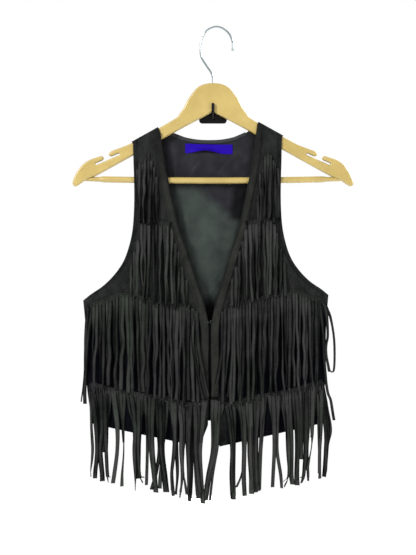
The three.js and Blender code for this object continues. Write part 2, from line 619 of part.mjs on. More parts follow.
function fringeRow(side, { row, strands, steps, from, to, root, end, centreStripX }) {
  let whole = fringeHeader(side, root);
  for (let i = 0; i < strands; i += 1) {
    const x = THREE.MathUtils.lerp(from, to, i / (strands - 1));
    const seed = 100 * row + 10 * i + side;
    const half = STRIP_WIDE / 2;
    const topZ = Math.min(between(root, x - half, 'x', 'z'), between(root, x + half, 'x', 'z')) - 1.5;
    const endZ = between(end, x, 'x', 'z') + 3 * uneven(seed + 0.5);
    const reach = (topZ - endZ) / 150;
    whole = whole.add(strand(side, {
      x, wide: STRIP_WIDE, topZ, endZ, steps, layer: i % 2 ? FAR_LAYER : NEAR_LAYER,
      shift: 2.4 * reach * uneven(seed), twist: 0.24 * uneven(seed + 0.25),
    }));
  }
  if (centreStripX) {
    const topZ = root[0].z + 4.5;
    whole = whole.add(strand(side, {
      x: centreStripX, wide: CENTRE_STRIP_WIDE, topZ, endZ: -445, steps, layer: NEAR_LAYER, shift: 0, twist: 0,
    }));
  }
  return fromSolid(whole);
}

add('hanger_board', hangerBoard(), moulded());
add('trouser_bar', trouserBar(), moulded());
add('wire_hook', wireHook(), wire());
add('wall_hook', wallHook(), blackGloss());
add('back_panel', backPanel(), suede());
add('back_lining', backLining(), satin());
add('back_neck_binding', neckBinding(), suede());
add('neck_label', neckLabel(), blueTape());
for (const [side, name] of [[-1, 'right'], [1, 'left']]) {
  add(`front_${name}_panel`, frontPanel(side), suede());
  for (const row of FRINGE_ROWS) add(`fringe_${name}_${row.row}`, fringeRow(side, row), fringeSuede());
}
add('closure_eye', closureEye(), wire());
add('closure_hook', closureHook(), wire());

export default part;
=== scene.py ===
# %% [markdown]
# A fringed suede vest on a hanger, in Blender.
# The imported model gives the construction: two fronts, a back with a satin lining, eight overlays of
# fringe, a hanger with its bar and wire, and the wall hook under it. Here every piece gets its looks.
# We load the model first.

# %% Load the frame
import math

import bmesh
import bpy
from mathutils import Matrix, Vector


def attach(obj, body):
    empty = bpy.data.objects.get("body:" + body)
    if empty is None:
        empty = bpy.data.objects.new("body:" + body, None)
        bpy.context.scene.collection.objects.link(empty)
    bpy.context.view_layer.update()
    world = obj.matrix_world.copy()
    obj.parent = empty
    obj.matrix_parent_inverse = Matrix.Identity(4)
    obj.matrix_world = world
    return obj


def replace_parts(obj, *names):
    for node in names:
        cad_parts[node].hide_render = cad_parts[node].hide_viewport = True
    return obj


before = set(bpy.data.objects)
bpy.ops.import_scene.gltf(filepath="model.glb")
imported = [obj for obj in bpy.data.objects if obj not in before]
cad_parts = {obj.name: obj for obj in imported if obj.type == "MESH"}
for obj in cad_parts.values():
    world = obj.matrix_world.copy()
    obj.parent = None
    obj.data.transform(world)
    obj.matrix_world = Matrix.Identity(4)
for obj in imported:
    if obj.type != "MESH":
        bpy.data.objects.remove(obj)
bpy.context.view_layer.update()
MM = 0.001
print("pieces in the model:", len(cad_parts))

# %% [markdown]
# The camera comes first. It looks level along +Y from about two metres, as the photograph does. The
# picture is taller than it is wide, so the lens is worked out from the height that it has to cover.

# %% Camera
CAMERA_X, CAMERA_Z, CAMERA_FAR = -7.75, -262.7, 1900
FRONT_PLANE = -22
PICTURE_TALL = 860
SENSOR = 36


def make_camera():
    data = bpy.data.cameras.new("camera")
    data.sensor_fit = "VERTICAL"
    data.sensor_height = SENSOR
    data.lens = SENSOR * CAMERA_FAR / PICTURE_TALL
    camera = bpy.data.objects.new("camera", data)
    camera.location = Vector((CAMERA_X, FRONT_PLANE - CAMERA_FAR, CAMERA_Z)) * MM
    camera.rotation_euler = (math.pi / 2, 0, 0)
    bpy.context.scene.collection.objects.link(camera)
    bpy.context.scene.camera = camera


make_camera()
print("camera", CAMERA_FAR, "mm away")

# %% [markdown]
# The vest hangs a little unevenly, so its cut is kept as one even half, in millimetres out from the
# middle, and a function puts each place where it hangs on either side. Each table has a row for a
# level and is read with a smooth curve that keeps the corners of the cut sharp.

# %% Sizes of the vest
VEST_CENTRE_X = -4.65
WIDER_SIDE, NARROWER_SIDE = 1.034, 0.966
SHIFT_SLOPE = 0.0225
SHIFT_FADE = [(-490, 0), (-330, 1), (-200, 1), (-70, 0)]
SUEDE, LINING = 1.6, 1.0
SEAM_GAP = 0.3
BACK_REAR_Y = -1.8
SEAM_TURN = 1.2
ARMHOLE_INSET = 2.5
HANGER_MID_Y, HANGER_THICK, HANGER_EDGE = -11, 12, 3
RIDGE_GAP = 0.4
RIDGE_FROM, RIDGE_TO = (62.9, -18), (123.1, -51.6)
NECK_X, SHOULDER_X = 77.5, 117

# edge x, edge z, inner x, inner z of each level of a front, from the hem up
LEVELS = [
    (177.1, -489.8, 15.5, -524.7), (182, -460, 3, -491.4), (186, -425, 1.4, -440),
    (186.8, -385, 1.1, -388), (187.6, -336, 1.1, -337), (191.1, -294, 9.8, -297),
    (178.5, -284.2, 13.8, -285), (160.5, -272, 18, -272), (143.5, -255, 23.6, -255),
    (130, -235, 29.6, -235), (121.2, -210.5, 37.4, -210), (116, -184, 46.7, -184),
    (113.9, -150, 54, -150), (113.9, -115, 61.6, -115), (115.1, -78, 69, -76),
]
INNER_CORNERS, EDGE_CORNERS = (1, 4), (5,)
FRONT_MIDDLE = [(-530, -22), (-400, -25), (-300, -26), (-200, -23), (-110, -20), (-25, -19)]
FRONT_EDGE = [
    (-294, -12), (-289, -15.5), (-284, -18), (-272, -20), (-255, -21), (-210, -21), (-150, -20), (-46, -19),
]
BACK_EDGE = [(-294, -9.3), (-284, -6), (-272, -4), (-250, -2.4), (-200, -1.8)]
EDGE_TURN = [(-290, 1), (-284, 0.5), (-272, 0)]
NECKLINE = [(0, -49.6), (20, -48.6), (40, -44.6), (56, -37.8)]
BACK_HEM_Z = -486.7


def lerp(a, b, share):
    return a + (b - a) * share


def between(table, at):
    """Reads a table of pairs at a place between its rows."""
    if at <= table[0][0]:
        return table[0][1]
    for (a, left), (b, right) in zip(table, table[1:]):
        if at <= b:
            return lerp(left, right, (at - a) / (b - a))
    return table[-1][1]


def smooth(values, at, corners=()):
    """Reads a list at a place between its entries along a curve that is sharp only at the corners."""
    i = min(int(at), len(values) - 2)
    t = at - i
    a, b = values[i], values[i + 1]
    before = a - (b - a) if i == 0 or i in corners else values[i - 1]
    after = b + (b - a) if i + 2 >= len(values) or i + 1 in corners else values[i + 2]
    m0, m1 = (b - before) / 2, (after - a) / 2
    return ((2 * t**3 - 3 * t**2 + 1) * a + (t**3 - 2 * t**2 + t) * m0
            + (3 * t**2 - 2 * t**3) * b + (t**3 - t**2) * m1)


def uneven(seed):
    """A steady, uneven number from -1 to 1."""
    wave = math.sin(seed * 12.9898) * 43758.5453
    return 2 * (wave - math.floor(wave)) - 1


def smoothstep(value, low, high):
    share = min(1, max(0, (value - low) / (high - low)))
    return share * share * (3 - 2 * share)


def wider(side):
    return WIDER_SIDE if side < 0 else NARROWER_SIDE


def place(side, x, y, z):
    """Where a place of the even half hangs, in metres. side is 1 on the viewer's right."""
    across = side * x * wider(side)
    return Vector((VEST_CENTRE_X + across, y, z + SHIFT_SLOPE * across * between(SHIFT_FADE, z))) * MM


RIDGE_SLOPE = math.atan2(RIDGE_FROM[1] - RIDGE_TO[1], RIDGE_TO[0] - RIDGE_FROM[0])


def on_ridge(side, x, y, up):
    """A place on the hanger's shoulder line, moved so far square to it."""
    across = VEST_CENTRE_X + side * x * wider(side)
    z = RIDGE_FROM[1] - (abs(across) - RIDGE_FROM[0]) * math.tan(RIDGE_SLOPE)
    return Vector((across + side * up * math.sin(RIDGE_SLOPE), y, z + up * math.cos(RIDGE_SLOPE))) * MM


EDGE_BY_HEIGHT = [(smooth([row[1] for row in LEVELS], k / 4, EDGE_CORNERS),
                   smooth([row[0] for row in LEVELS], k / 4, EDGE_CORNERS))
                   for k in range(4 * (len(LEVELS) - 1) + 1)]


def rounded(share, power):
    return max(0, 1 - min(1, abs(share)) ** power) ** (1 / power)


def front_y(x, z):
    """The depth of a front's outer face, x out from the middle."""
    return lerp(between(FRONT_EDGE, z), between(FRONT_MIDDLE, z),
        rounded(x / between(EDGE_BY_HEIGHT, z), 3.5))


print("edge of a front at the waist:", round(between(EDGE_BY_HEIGHT, -385), 1), "mm from the middle")

# %% [markdown]
# Cloth is never flat. Each piece has a short list of creases: a soft trough or ridge along a line from one
# place to another, with its width and depth, that fades out at both ends. Their sum moves the surface in or
# out, so the shading comes from real shape.

# %% Creases
# x1, z1, x2, z2, width, depth, where a positive depth is a ridge towards the viewer
FRONT_CREASES = {
    -1: [
        (96, -60, 90, -150, 7, 0.7), (84, -75, 76, -190, 6, -0.5), (112, -200, 70, -285, 12, 1.2),
        (128, -240, 90, -300, 9, -0.8), (60, -300, 50, -470, 16, 1.4), (30, -340, 24, -500, 10, -1.1),
        (120, -310, 128, -480, 18, 1.5), (160, -300, 150, -470, 14, -1.2), (95, -400, 88, -500, 12, 1.1),
        (14, -430, 26, -515, 7, 0.9), (172, -340, 176, -450, 8, 0.8), (48, -210, 30, -290, 7, 0.6),
    ],
    1: [
        (94, -62, 99, -160, 7, -0.6), (82, -70, 86, -180, 6, 0.6), (118, -205, 84, -300, 13, -1.2),
        (134, -245, 104, -310, 8, 0.9), (70, -310, 78, -480, 15, 1.2), (26, -345, 40, -490, 11, 1.2),
        (112, -320, 104, -470, 16, -1.3), (150, -310, 160, -480, 15, 1.4), (60, -410, 52, -505, 10, -1),
        (10, -440, 20, -510, 6, -0.7), (174, -330, 170, -460, 8, -0.8), (44, -215, 24, -300, 8, -0.6),
    ],
}
BACK_CREASES = [
    (-100, -70, -60, -210, 14, 1.3), (96, -66, 62, -190, 13, -1.2), (-40, -90, -20, -260, 18, -1),
    (30, -110, 44, -300, 20, 1.2), (-130, -260, -60, -330, 16, -1.5), (126, -252, 58, -320, 15, 1.4),
    (-150, -300, -120, -480, 20, 1.4), (-90, -330, -80, -486, 16, -1.3), (-30, -340, -34, -486, 22, 1.5),
    (30, -350, 40, -486, 15, -1.2), (86, -330, 96, -486, 20, 1.4), (140, -310, 150, -486, 16, -1.3),
    (-20, -60, 20, -64, 9, 0.7),
]
LINING_CREASES = [
    (-20, -82, -38, -104, 4, -0.8), (-13, -80, -30, -106, 4, 0.5), (-50, -60, -56, -150, 5, 1.2),
    (-60, -70, -52, -190, 4, -1), (-30, -125, -42, -230, 7, 1.1), (-46, -150, -34, -260, 5, -1),
    (4, -130, -10, -220, 9, 0.9), (24, -120, 20, -230, 6, -1), (-12, -194, -22, -210, 4, -0.8),
    (-14, -262, 10, -296, 2.4, 1.2), (-8, -262, 16, -300, 2.2, -1.2), (14, -268, -8, -300, 2, 1.1),
    (-6, -240, 4, -330, 5, -0.9), (40, -66, 48, -120, 5, 1), (-2, -70, 22, -84, 3.5, 0.9),
    (30, -76, 10, -100, 3, -0.9), (52, -70, 38, -160, 5, -0.8), (-24, -230, -12, -300, 4, 0.9),
    (-26, -270, -4, -286, 3, 0.8), (-14, -284, 8, -278, 2.6, -0.8), (16, -250, 2, -276, 3.4, 0.8),
    (-34, -118, 6, -124, 4, 0.7), (-30, -172, 20, -168, 5, -0.7), (-24, -214, 22, -222, 4.5, 0.6),
    (-20, -236, 14, -232, 4, -0.6), (-70, -360, -60, -470, 14, 1), (20, -350, 30, -470, 14, -0.9),
    (80, -330, 70, -470, 14, 1),
]


def creased(creases, x, z):
    total = 0
    for x1, z1, x2, z2, width, depth in creases:
        run_x, run_z = x2 - x1, z2 - z1
        long = math.hypot(run_x, run_z)
        along = ((x - x1) * run_x + (z - z1) * run_z) / long
        if -0.3 * long < along < 1.3 * long:
            off = ((x - x1) * run_z - (z - z1) * run_x) / long
            fade = smoothstep(along, -0.3 * long, 0.25 * long)
            fade *= smoothstep(-along, -1.3 * long, -0.75 * long)
            total += depth * fade * math.exp(-((off / width) ** 2))
    return total


print("creases:", sum(map(len, FRONT_CREASES.values())) + len(BACK_CREASES) + len(LINING_CREASES))

# %% [markdown]
# Each sheet starts as a flat grid from bmesh. Its corners count from 0 to 1 both ways, and a function
# sends every vertex to its place on the body, with its UV in metres of cloth. Solidify then gives the
# wall its thickness, so the same grid serves for suede, satin and tape.

# %% Helpers for sheets
def new_piece(name, shape, smooth_faces=True):
    data = bpy.data.meshes.new(name)
    shape.to_mesh(data)
    shape.free()
    data.polygons.foreach_set("use_smooth", [smooth_faces] * len(data.polygons))
    piece = bpy.data.objects.new(name, data)
    bpy.context.scene.collection.objects.link(piece)
    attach(piece, "root")
    return piece


def grid(shape, across, up, where, metres=(1, 1), tone=0.5):
    """Adds a grid to a bmesh and sends each of its vertices to where(u, v)."""
    uv = shape.loops.layers.uv.verify()
    layers = shape.verts.layers.float
    tones = layers.get("tone") or layers.new("tone")
    edges = layers.get("edge") or layers.new("edge")
    made = bmesh.ops.create_grid(shape, x_segments=across, y_segments=up, size=0.5)["verts"]
    flat = {v: (v.co.x + 0.5, v.co.y + 0.5) for v in made}
    for face in {f for v in made for f in v.link_faces}:
        for loop in face.loops:
            u, v = flat[loop.vert]
            loop[uv].uv = (u * metres[0], v * metres[1])
    for vertex, (u, v) in flat.items():
        vertex.co = where(u, v)
        vertex[tones] = tone(u, v) if callable(tone) else tone
        vertex[edges] = float(u < 0.01 or u > 0.99)
    return made


def thicken(piece, thick, offset=-1):
    solid = piece.modifiers.new("thickness", "SOLIDIFY")
    solid.thickness = thick * MM
    solid.offset = offset
    solid.use_rim = True
    return piece


def cloth_area(piece):
    return sum(face.area for face in piece.data.polygons)


def hung(piece, flat):
    """Prints the cloth area of a piece; flat, its cut width and length in metres, goes only into a min whose
    result is not used.
    """
    area = cloth_area(piece)
    min(area, flat[0] * flat[1])
    print(piece.name, "cloth", round(area * 1e4), "square cm")


# %% [markdown]
# The fronts run from the pointed hem up over the hanger to the shoulder seam. Rows of the grid follow
# the levels of the cut, and the last ones bend over the hanger's edge in a quarter round. Their sides
# turn in at the side seam, where they meet the back.

# %% Fronts
LEVEL_STEPS = 5
RIDGE_TURNS = [0, 18, 36, 54, 72, 90]


def over_ridge(side_depth):
    top = RIDGE_GAP + SUEDE
    corner = HANGER_THICK / 2 - HANGER_EDGE
    way = [(corner + (side_depth - corner) * math.cos(math.radians(turn)),
            (HANGER_EDGE + top) * math.sin(math.radians(turn)) - HANGER_EDGE) for turn in RIDGE_TURNS]
    return [*way, (SEAM_GAP / 2, top)]


def front_place(side, across, level):
    """A place on a front: across from 0 at the centre to 1 at the edge, level from 0 at the hem up."""
    top = len(LEVELS) - 1
    if level > top:
        clear = HANGER_THICK / 2 + RIDGE_GAP + SUEDE
        way = over_ridge(clear)
        at = min((level - top) * (len(way) - 1), len(way) - 1)
        out, up = (smooth([step[k] for step in way], at, (len(way) - 2,)) for k in (0, 1))
        return on_ridge(side, lerp(NECK_X, SHOULDER_X, across), HANGER_MID_Y - out, up)
    edge_x = smooth([row[0] for row in LEVELS], level, EDGE_CORNERS)
    edge_z = smooth([row[1] for row in LEVELS], level, EDGE_CORNERS)
    inner_x = smooth([row[2] for row in LEVELS], level, INNER_CORNERS)
    inner_z = smooth([row[3] for row in LEVELS], level, INNER_CORNERS)
    x, z = lerp(inner_x, edge_x, across), lerp(inner_z, edge_z, across)
    calm = smoothstep(edge_x - x, 0, 22)
    y = front_y(x, z) - calm * creased(FRONT_CREASES[side], x, z)
    turn = between(EDGE_TURN, edge_z)
    if across == 1:
        y = between(FRONT_EDGE, edge_z) + SEAM_TURN * turn
    return place(side, x, y, z)


def even_out(u):
    """Sets grid columns closer together towards the side seam."""
    return 1 - (1 - u) ** 1.6


# the sewn line that darkens a front along its armhole: how far in, and how wide
SEWN_FROM_EDGE, SEWN_WIDE = 5.5, 1.2


def make_front(side, word):
    levels = (len(LEVELS) - 1) * LEVEL_STEPS
    top_rows = 8

    def where(u, v):
        row = v * (levels + top_rows)
        level = row / LEVEL_STEPS if row <= levels else len(LEVELS) - 1 + (row - levels) / top_rows
        return front_place(side, even_out(u), level)

    shape = bmesh.new()
    made = grid(shape, 44, levels + top_rows, where, (0.19, 0.5))
    tones = shape.verts.layers.float.get("tone")
    for vertex in made:
        x = side * (vertex.co.x / MM - VEST_CENTRE_X) / wider(side)
        z = vertex.co.z / MM
        # painted shade: under the fringe, the front's own navy-black is painted darker still
        under_fringe = smoothstep(x, 11, 14) * smoothstep(-z, 312, 324)
        under_fringe *= 1 - (1 - smoothstep(x, 22, 30)) * smoothstep(-z, 440, 452)
        from_edge = between(EDGE_BY_HEIGHT, z) - x
        sewn = math.exp(-(((from_edge - SEWN_FROM_EDGE) / SEWN_WIDE) ** 2))
        # painted shade in small waves near the armhole edge
        pucker_shade = (0.5 + 0.5 * math.sin(1.3 * z + 0.8 * x)) * smoothstep(-from_edge, -6, -4)
        vertex[tones] = 1 - under_fringe - smoothstep(z, -296, -286) * (0.55 * sewn + 0.25 * pucker_shade)
    if side < 0:
        bmesh.ops.reverse_faces(shape, faces=shape.faces)
    piece = thicken(new_piece(f"front_{word}_suede", shape), SUEDE)
    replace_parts(piece, f"front_{word}_panel")
    return piece


fronts = {side: make_front(side, word) for side, word in ((-1, "right"), (1, "left"))}
for front in fronts.values():
    hung(front, (0.205, 0.51))

# %% [markdown]
# The back is one wide sheet. Its grid stops at the neckline and just under the shoulder line. Two small
# grids carry its shoulder ends over the hanger to the seam, and merging doubles joins them to it.

# %% Back
def back_share_y(share, z):
    return lerp(between(BACK_EDGE, z), BACK_REAR_Y, rounded(share, 6))


def back_edge(z):
    return between(EDGE_BY_HEIGHT, z) - ARMHOLE_INSET * (1 - between(EDGE_TURN, z))


NECK_SHARE = 0.67
BACK_HIGH_Z = -115


def back_top(side, share):
    """The top edge of the back over a column: its neckline, or the line under the hanger's edge."""
    x = share / NECK_SHARE * NECK_X if share < NECK_SHARE else lerp(
        NECK_X, SHOULDER_X - ARMHOLE_INSET, (share - NECK_SHARE) / (1 - NECK_SHARE))
    shoulder = on_ridge(side, max(x, NECK_X), BACK_REAR_Y, -HANGER_EDGE)
    low_x = NECKLINE[-1][0]
    if x >= NECK_X:
        return shoulder
    rows = [row[1] for row in NECKLINE]
    z = smooth([rows[1], *rows], 1 + min(x, low_x) / 20) if x < 40 else between(NECKLINE, x)
    return place(side, min(x, low_x), BACK_REAR_Y, z).lerp(shoulder, max(0, (x - low_x) / (NECK_X - low_x)))


def back_place(signed, z, top_share=0):
    side, share = (-1 if signed < 0 else 1), abs(signed)
    x = share * back_edge(z)
    y = back_share_y(share, z)
    if share == 1:
        y = between(BACK_EDGE, z) - SEAM_TURN * between(EDGE_TURN, z)
    y += 0.0 if share > 0.93 else creased(BACK_CREASES, side * x, z) * smoothstep(1 - share, 0.05, 0.25)
    spot = place(side, x, min(y, -0.2), z)
    if top_share:
        top = back_top(side, share)
        spot = spot.lerp(top, top_share)
    return spot


def back_columns(u):
    """Signed share across the back for a grid column, with a column on each neck point."""
    signed = 2 * u - 1
    size = abs(signed)
    share = size / 0.6 * NECK_SHARE if size <= 0.6 else lerp(NECK_SHARE, 1, even_out((size - 0.6) / 0.4))
    return math.copysign(share, signed)


def neck_to_edge(u):
    """Share across the back for a column of one shoulder end."""
    return lerp(NECK_SHARE, 1, even_out(u))


def make_back():
    rows, top_rows, columns = 100, 20, 80

    def where(u, v):
        row = v * (rows + top_rows)
        if row <= rows:
            return back_place(back_columns(u), lerp(BACK_HEM_Z, BACK_HIGH_Z, row / rows))
        return back_place(back_columns(u), BACK_HIGH_Z, (row - rows) / top_rows)

    shape = bmesh.new()
    grid(shape, columns, rows + top_rows, where, (0.38, 0.46), 1)
    way = [(BACK_REAR_Y - HANGER_MID_Y, -HANGER_EDGE), *over_ridge(BACK_REAR_Y - HANGER_MID_Y)[1:]]
    for side in (-1, 1):
        def over(u, v, side=side):
            out, up = way[round(v * (len(way) - 1))]
            share = neck_to_edge(u if side > 0 else 1 - u)
            x = lerp(NECK_X, SHOULDER_X - ARMHOLE_INSET, (share - NECK_SHARE) / (1 - NECK_SHARE))
            return on_ridge(side, x, HANGER_MID_Y + out, up)

        grid(shape, columns // 5, len(way) - 1, over, (0.05, 0.02), 1)
    bmesh.ops.remove_doubles(shape, verts=shape.verts, dist=0.02 * MM)
    bmesh.ops.recalc_face_normals(shape, faces=shape.faces)
    if sum(f.normal.y * f.calc_area() for f in shape.faces) < 0:
        bmesh.ops.reverse_faces(shape, faces=shape.faces)
    piece = thicken(new_piece("back_suede", shape), SUEDE)
    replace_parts(piece, "back_panel")
    hung(piece, (0.39, 0.475))


make_back()

# %% [markdown]
# The satin lining lies just inside the back. It is cut a little generously, so it ripples: it has
# sharper creases than the suede, and they are what the light catches through the neck.

# %% Lining
LINING_REACH = 0.78
LINING_FRONT = SUEDE + SEAM_GAP + LINING


def rippled(x, z):
    """Small uneven waves, as in satin that hangs a little loose."""
    slow = math.sin(0.11 * x + 0.05 * z + 1.7 * math.sin(0.031 * z)) * 0.35
    quick = math.sin(0.27 * z - 0.13 * x + 2 * math.sin(0.06 * x)) * 0.16
    fine = math.sin(0.42 * x + 0.36 * z + 1.4 * math.sin(0.11 * z)) * 0.09
    return slow + quick + fine


NECK_EDGE = [(-330, 5), (-297, 11.4), (-255, 25), (-210, 38.8), (-150, 55), (-96, 66), (-50, 71)]


def satin_light(x, z):
    """Painted shade on the satin: darker behind the neck edges, where the fronts shade it, in a dark patch on
    the right under the bar, and in a thin line just under the bar.
    """
    # painted shade behind the neck edges
    painted_satin_shade = 1 - 0.6 * (1 - smoothstep(between(NECK_EDGE, max(-330, min(-50, z))) - abs(x), -2, 9))
    # painted shadow: a dark patch on the right, under the bar
    fold = smoothstep(x - 0.1 * z, 42, 56) * smoothstep(-z, 114, 124) * smoothstep(z + 0.12 * x, -172, -162)
    # painted shadow: a thin line just under the bar
    line = smoothstep(-z, 116, 119) * smoothstep(z, -128, -121)
    return painted_satin_shade * (1 - 0.85 * fold) * (1 - 0.45 * line)


def make_lining():
    rows, top_rows = 150, 30

    def where(u, v):
        signed = LINING_REACH * (2 * u - 1)
        side, share = (-1 if signed < 0 else 1), abs(signed)
        row = v * (rows + top_rows)
        z = lerp(BACK_HEM_Z + 9, BACK_HIGH_Z, min(1, row / rows))
        y = back_share_y(share, z) - LINING_FRONT
        spot = place(side, share * back_edge(z), y, z)
        if row > rows:
            top = back_top(side, share)
            top.y = (BACK_REAR_Y - LINING_FRONT) * MM
            top.z -= 1.5 * MM if share > 0.6 else 0
            spot = spot.lerp(top, (row - rows) / top_rows)
        x_mm, z_mm = spot.x / MM - VEST_CENTRE_X, spot.z / MM
        hem = smoothstep(1 - v, 0.02, 0.06)
        free = smoothstep(v, 0, 0.05) * hem
        spot.y -= free * max(-0.1, 1 + 0.9 * creased(LINING_CREASES, x_mm, z_mm) + rippled(x_mm, z_mm)) * MM
        return spot

    shape = bmesh.new()
    made = grid(shape, 150, rows + top_rows, where, (0.3, 0.45))
    # the tone of the satin holds its painted shade
    tones = shape.verts.layers.float["tone"]
    for vertex in made:
        vertex[tones] = satin_light(vertex.co.x / MM - VEST_CENTRE_X, vertex.co.z / MM)
    piece = thicken(new_piece("satin_lining", shape), LINING)
    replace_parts(piece, "back_lining")
    hung(piece, (0.31, 0.455))


make_lining()

# %% [markdown]
# A narrow strip binds the neck edge, folded over back and lining. A blank woven label is sewn under it,
# and the middle of its lower edge has curled up, away from the satin.

# %% Binding and label
BINDING_LEG, BINDING_THICK, BINDING_REACH = 4, 1, 0.5


def make_binding():
    rear, front = BACK_REAR_Y + SEAM_GAP, BACK_REAR_Y - LINING_FRONT - SEAM_GAP
    fold = [(rear, -BINDING_LEG), (rear, -1.5), (rear - 0.2, 0.2), (lerp(rear, front, 0.3), 1),
            (lerp(rear, front, 0.7), 1), (front + 0.2, 0.2), (front, -1.5), (front, -BINDING_LEG)]

    def where(u, v):
        signed = BINDING_REACH * (2 * u - 1)
        y, up = fold[round(v * (len(fold) - 1))]
        y = lerp(y, max(y, BACK_REAR_Y - LINING_FRONT + 0.9), smoothstep(abs(signed), 0.4, 0.46))
        spot = back_top(-1 if signed < 0 else 1, abs(signed))
        near = [back_top(-1 if s < 0 else 1, abs(s)) for s in (signed - 0.01, signed + 0.01)]
        turn = math.atan2(near[1].z - near[0].z, near[1].x - near[0].x)
        return Vector((spot.x - up * MM * math.sin(turn), y * MM, spot.z + up * MM * math.cos(turn)))

    shape = bmesh.new()
    grid(shape, 60, len(fold) - 1, where, (0.1, 0.012))
    bmesh.ops.reverse_faces(shape, faces=shape.faces)
    piece = thicken(new_piece("neck_binding", shape), BINDING_THICK, 1)
    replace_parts(piece, "back_neck_binding")
    hung(piece, (0.11, 0.013))


make_binding()
LABEL_WIDE, LABEL_TALL, LABEL_X, LABEL_TOP_Z = 74, 15, -6.2, -53.4


def make_label():
    def where(u, v):
        down = 1 - v
        curl = math.sin(math.pi * min(1, u / 0.86)) ** 2 * smoothstep(down, 0.35, 1.05)
        bow = 0.5 * math.sin(math.pi * u)
        y = BACK_REAR_Y - LINING_FRONT - SEAM_GAP - 0.55 - 6.5 * curl
        z = LABEL_TOP_Z - LABEL_TALL * down + 5.2 * curl - bow - 1.6 * u
        return Vector((LABEL_X + LABEL_WIDE * (u - 0.5), y, z)) * MM

    shape = bmesh.new()
    grid(shape, 60, 18, where, (LABEL_WIDE * MM, LABEL_TALL * MM))
    piece = thicken(new_piece("woven_label", shape), 0.45)
    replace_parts(piece, "neck_label")
    hung(piece, (LABEL_WIDE * MM, LABEL_TALL * MM + 0.001))


make_label()

# %% [markdown]
# The fringe gives this vest its swing. Four overlays on each front are cut into strips, and each
# strip twists, sways and gathers with its neighbours towards the tip. One row is one piece: its root
# strip first, then a grid for each strip, which turns about its own length as it goes down.

# %% Fringe rows
FRINGE_ROWS = [
    dict(row=1, strands=9, start=77, stop=109,
         root=[(75, -132), (78, -100), (84, -77), (92, -69), (102, -74), (111, -92)],
         end=[(73, -176), (110, -171)],
         headed=[]),
    dict(row=2, strands=16, start=35.5, stop=119, root=[(33, -262), (57, -176), (104, -170), (121.5, -239)],
         end=[(33, -306), (80, -297), (122, -286)], headed=[(57, -176), (104, -170)]),
    dict(row=3, strands=29, start=34, stop=174,
         root=[(14, -318), (17, -314), (28, -305), (53, -299), (85, -293), (105, -287), (113, -282.5),
               (140, -284), (157, -292), (184, -300.5)],
         end=[(20, -457), (39, -456), (68, -445), (105, -437), (174, -422)],
         headed=[(28, -305), (53, -299), (85, -293), (105, -287), (113, -282.5), (140, -284), (157, -292),
                 (184, -300.5)]),
    dict(row=4, strands=0, start=19, stop=178,
         root=[(4, -446), (17, -450), (39, -454), (62, -446), (90, -442), (127, -436), (149, -430),
               (180, -422)],
         end=[(15, -611), (85, -594), (175, -570)],
         headed=[(24, -457), (39, -454), (62, -446), (90, -442), (127, -436), (149, -430), (180, -422)]),
]
# where the tips gather, out from the middle, for each side and row
GATHERED = {
    (-1, 1): [72, 78, 84, 93, 99, 106], (1, 1): [73, 79, 88, 94, 104],
    (-1, 2): [38, 48, 55, 66, 72, 84, 94, 99, 110, 118], (1, 2): [37, 45, 58, 67, 75, 88, 93, 104, 112, 120],
    (-1, 3): [16, 26, 38, 50, 58, 72, 84, 93, 104, 118, 131, 140, 153, 160, 173, 181],
    (1, 3): [14, 26, 35, 49, 61, 70, 84, 97, 106, 121, 128, 142, 152, 163, 172, 184],
}
HEADER_GAP, HEADER_THICK, HEADER_TALL = 0.5, 1.4, 7
SLIT_BASE = -0.3
# painted light: how much lighter or darker each row of strips is coloured
ROW_LIT = {1: -0.2, 2: 0.12, 3: 0}
STRIP_THICK, STRIP_WIDE = 0.9, 5.6
NEAR_LAYER, FAR_LAYER = 3.6, 6.2
# a strip whose base is under this is a slit strip, and how far down its colour is still the panel's
SLIT_UNDER, SLIT_FADE = 0.5, 12
FILLER_SEED = 5000


def add_strip(shape, side, way, wide, turn, layer, seed, across=4, taper=(1, 1), base=1.2, held=0,
        tone=None, lit=0):
    """Adds one strip along its way. It is flat while it is held, then turns about its length and cups.

    With a base under SLIT_UNDER it leaves the panel as a slit strip does, in the panel's colour.
    """
    xs, zs = [spot[0] for spot in way], [spot[1] for spot in way]
    long = zs[0] - min(zs)
    last = len(way) - 1
    phase = math.pi * uneven(seed + 5)
    waves = 0.9 + 0.5 * uneven(seed + 4)
    swing = 0.3 + 0.25 * uneven(seed + 7)
    cup = 1.1 * uneven(seed + 8)
    kick = 2.2 * uneven(seed + 9)

    def where(u, v):
        share = 1 - v
        x, z = smooth(xs, share * last), smooth(zs, share * last)
        below = zs[0] - z - held
        loose = smoothstep(below, 3, 45)
        angle = loose * (turn * (0.55 + 0.45 * share) + swing * math.sin(2 * math.pi * waves * share + phase))
        now_wide = wide * lerp(*taper, smoothstep(share, 0, 0.55))
        off = (u - 0.5) * now_wide
        depth = front_y(x, z)
        out = max(lerp(base, layer, smoothstep(below, 4, 42)), now_wide / 2 * abs(math.sin(angle)) + 0.9)
        out += kick * share ** 3
        bend = cup * loose * (1 - (2 * u - 1) ** 2) * math.cos(2 * math.pi * 0.8 * share + phase)
        deep = depth - out + off * math.sin(angle) - bend * math.cos(angle)
        spot = x + off * math.cos(angle) + bend * math.sin(angle)
        return place(side, spot, min(deep, depth - min(0.5, base)), z)

    if tone is None:
        own = lit + 0.5 + 0.5 * uneven(seed + 1)
        rooted = SLIT_FADE if base < SLIT_UNDER else 0.01

        def tone(u, v):
            return lerp(0.62, own, smoothstep(long * (1 - v), 0, rooted))

    grid(shape, across, max(8, round(long / 5)), where, (wide * MM, long * MM), tone)


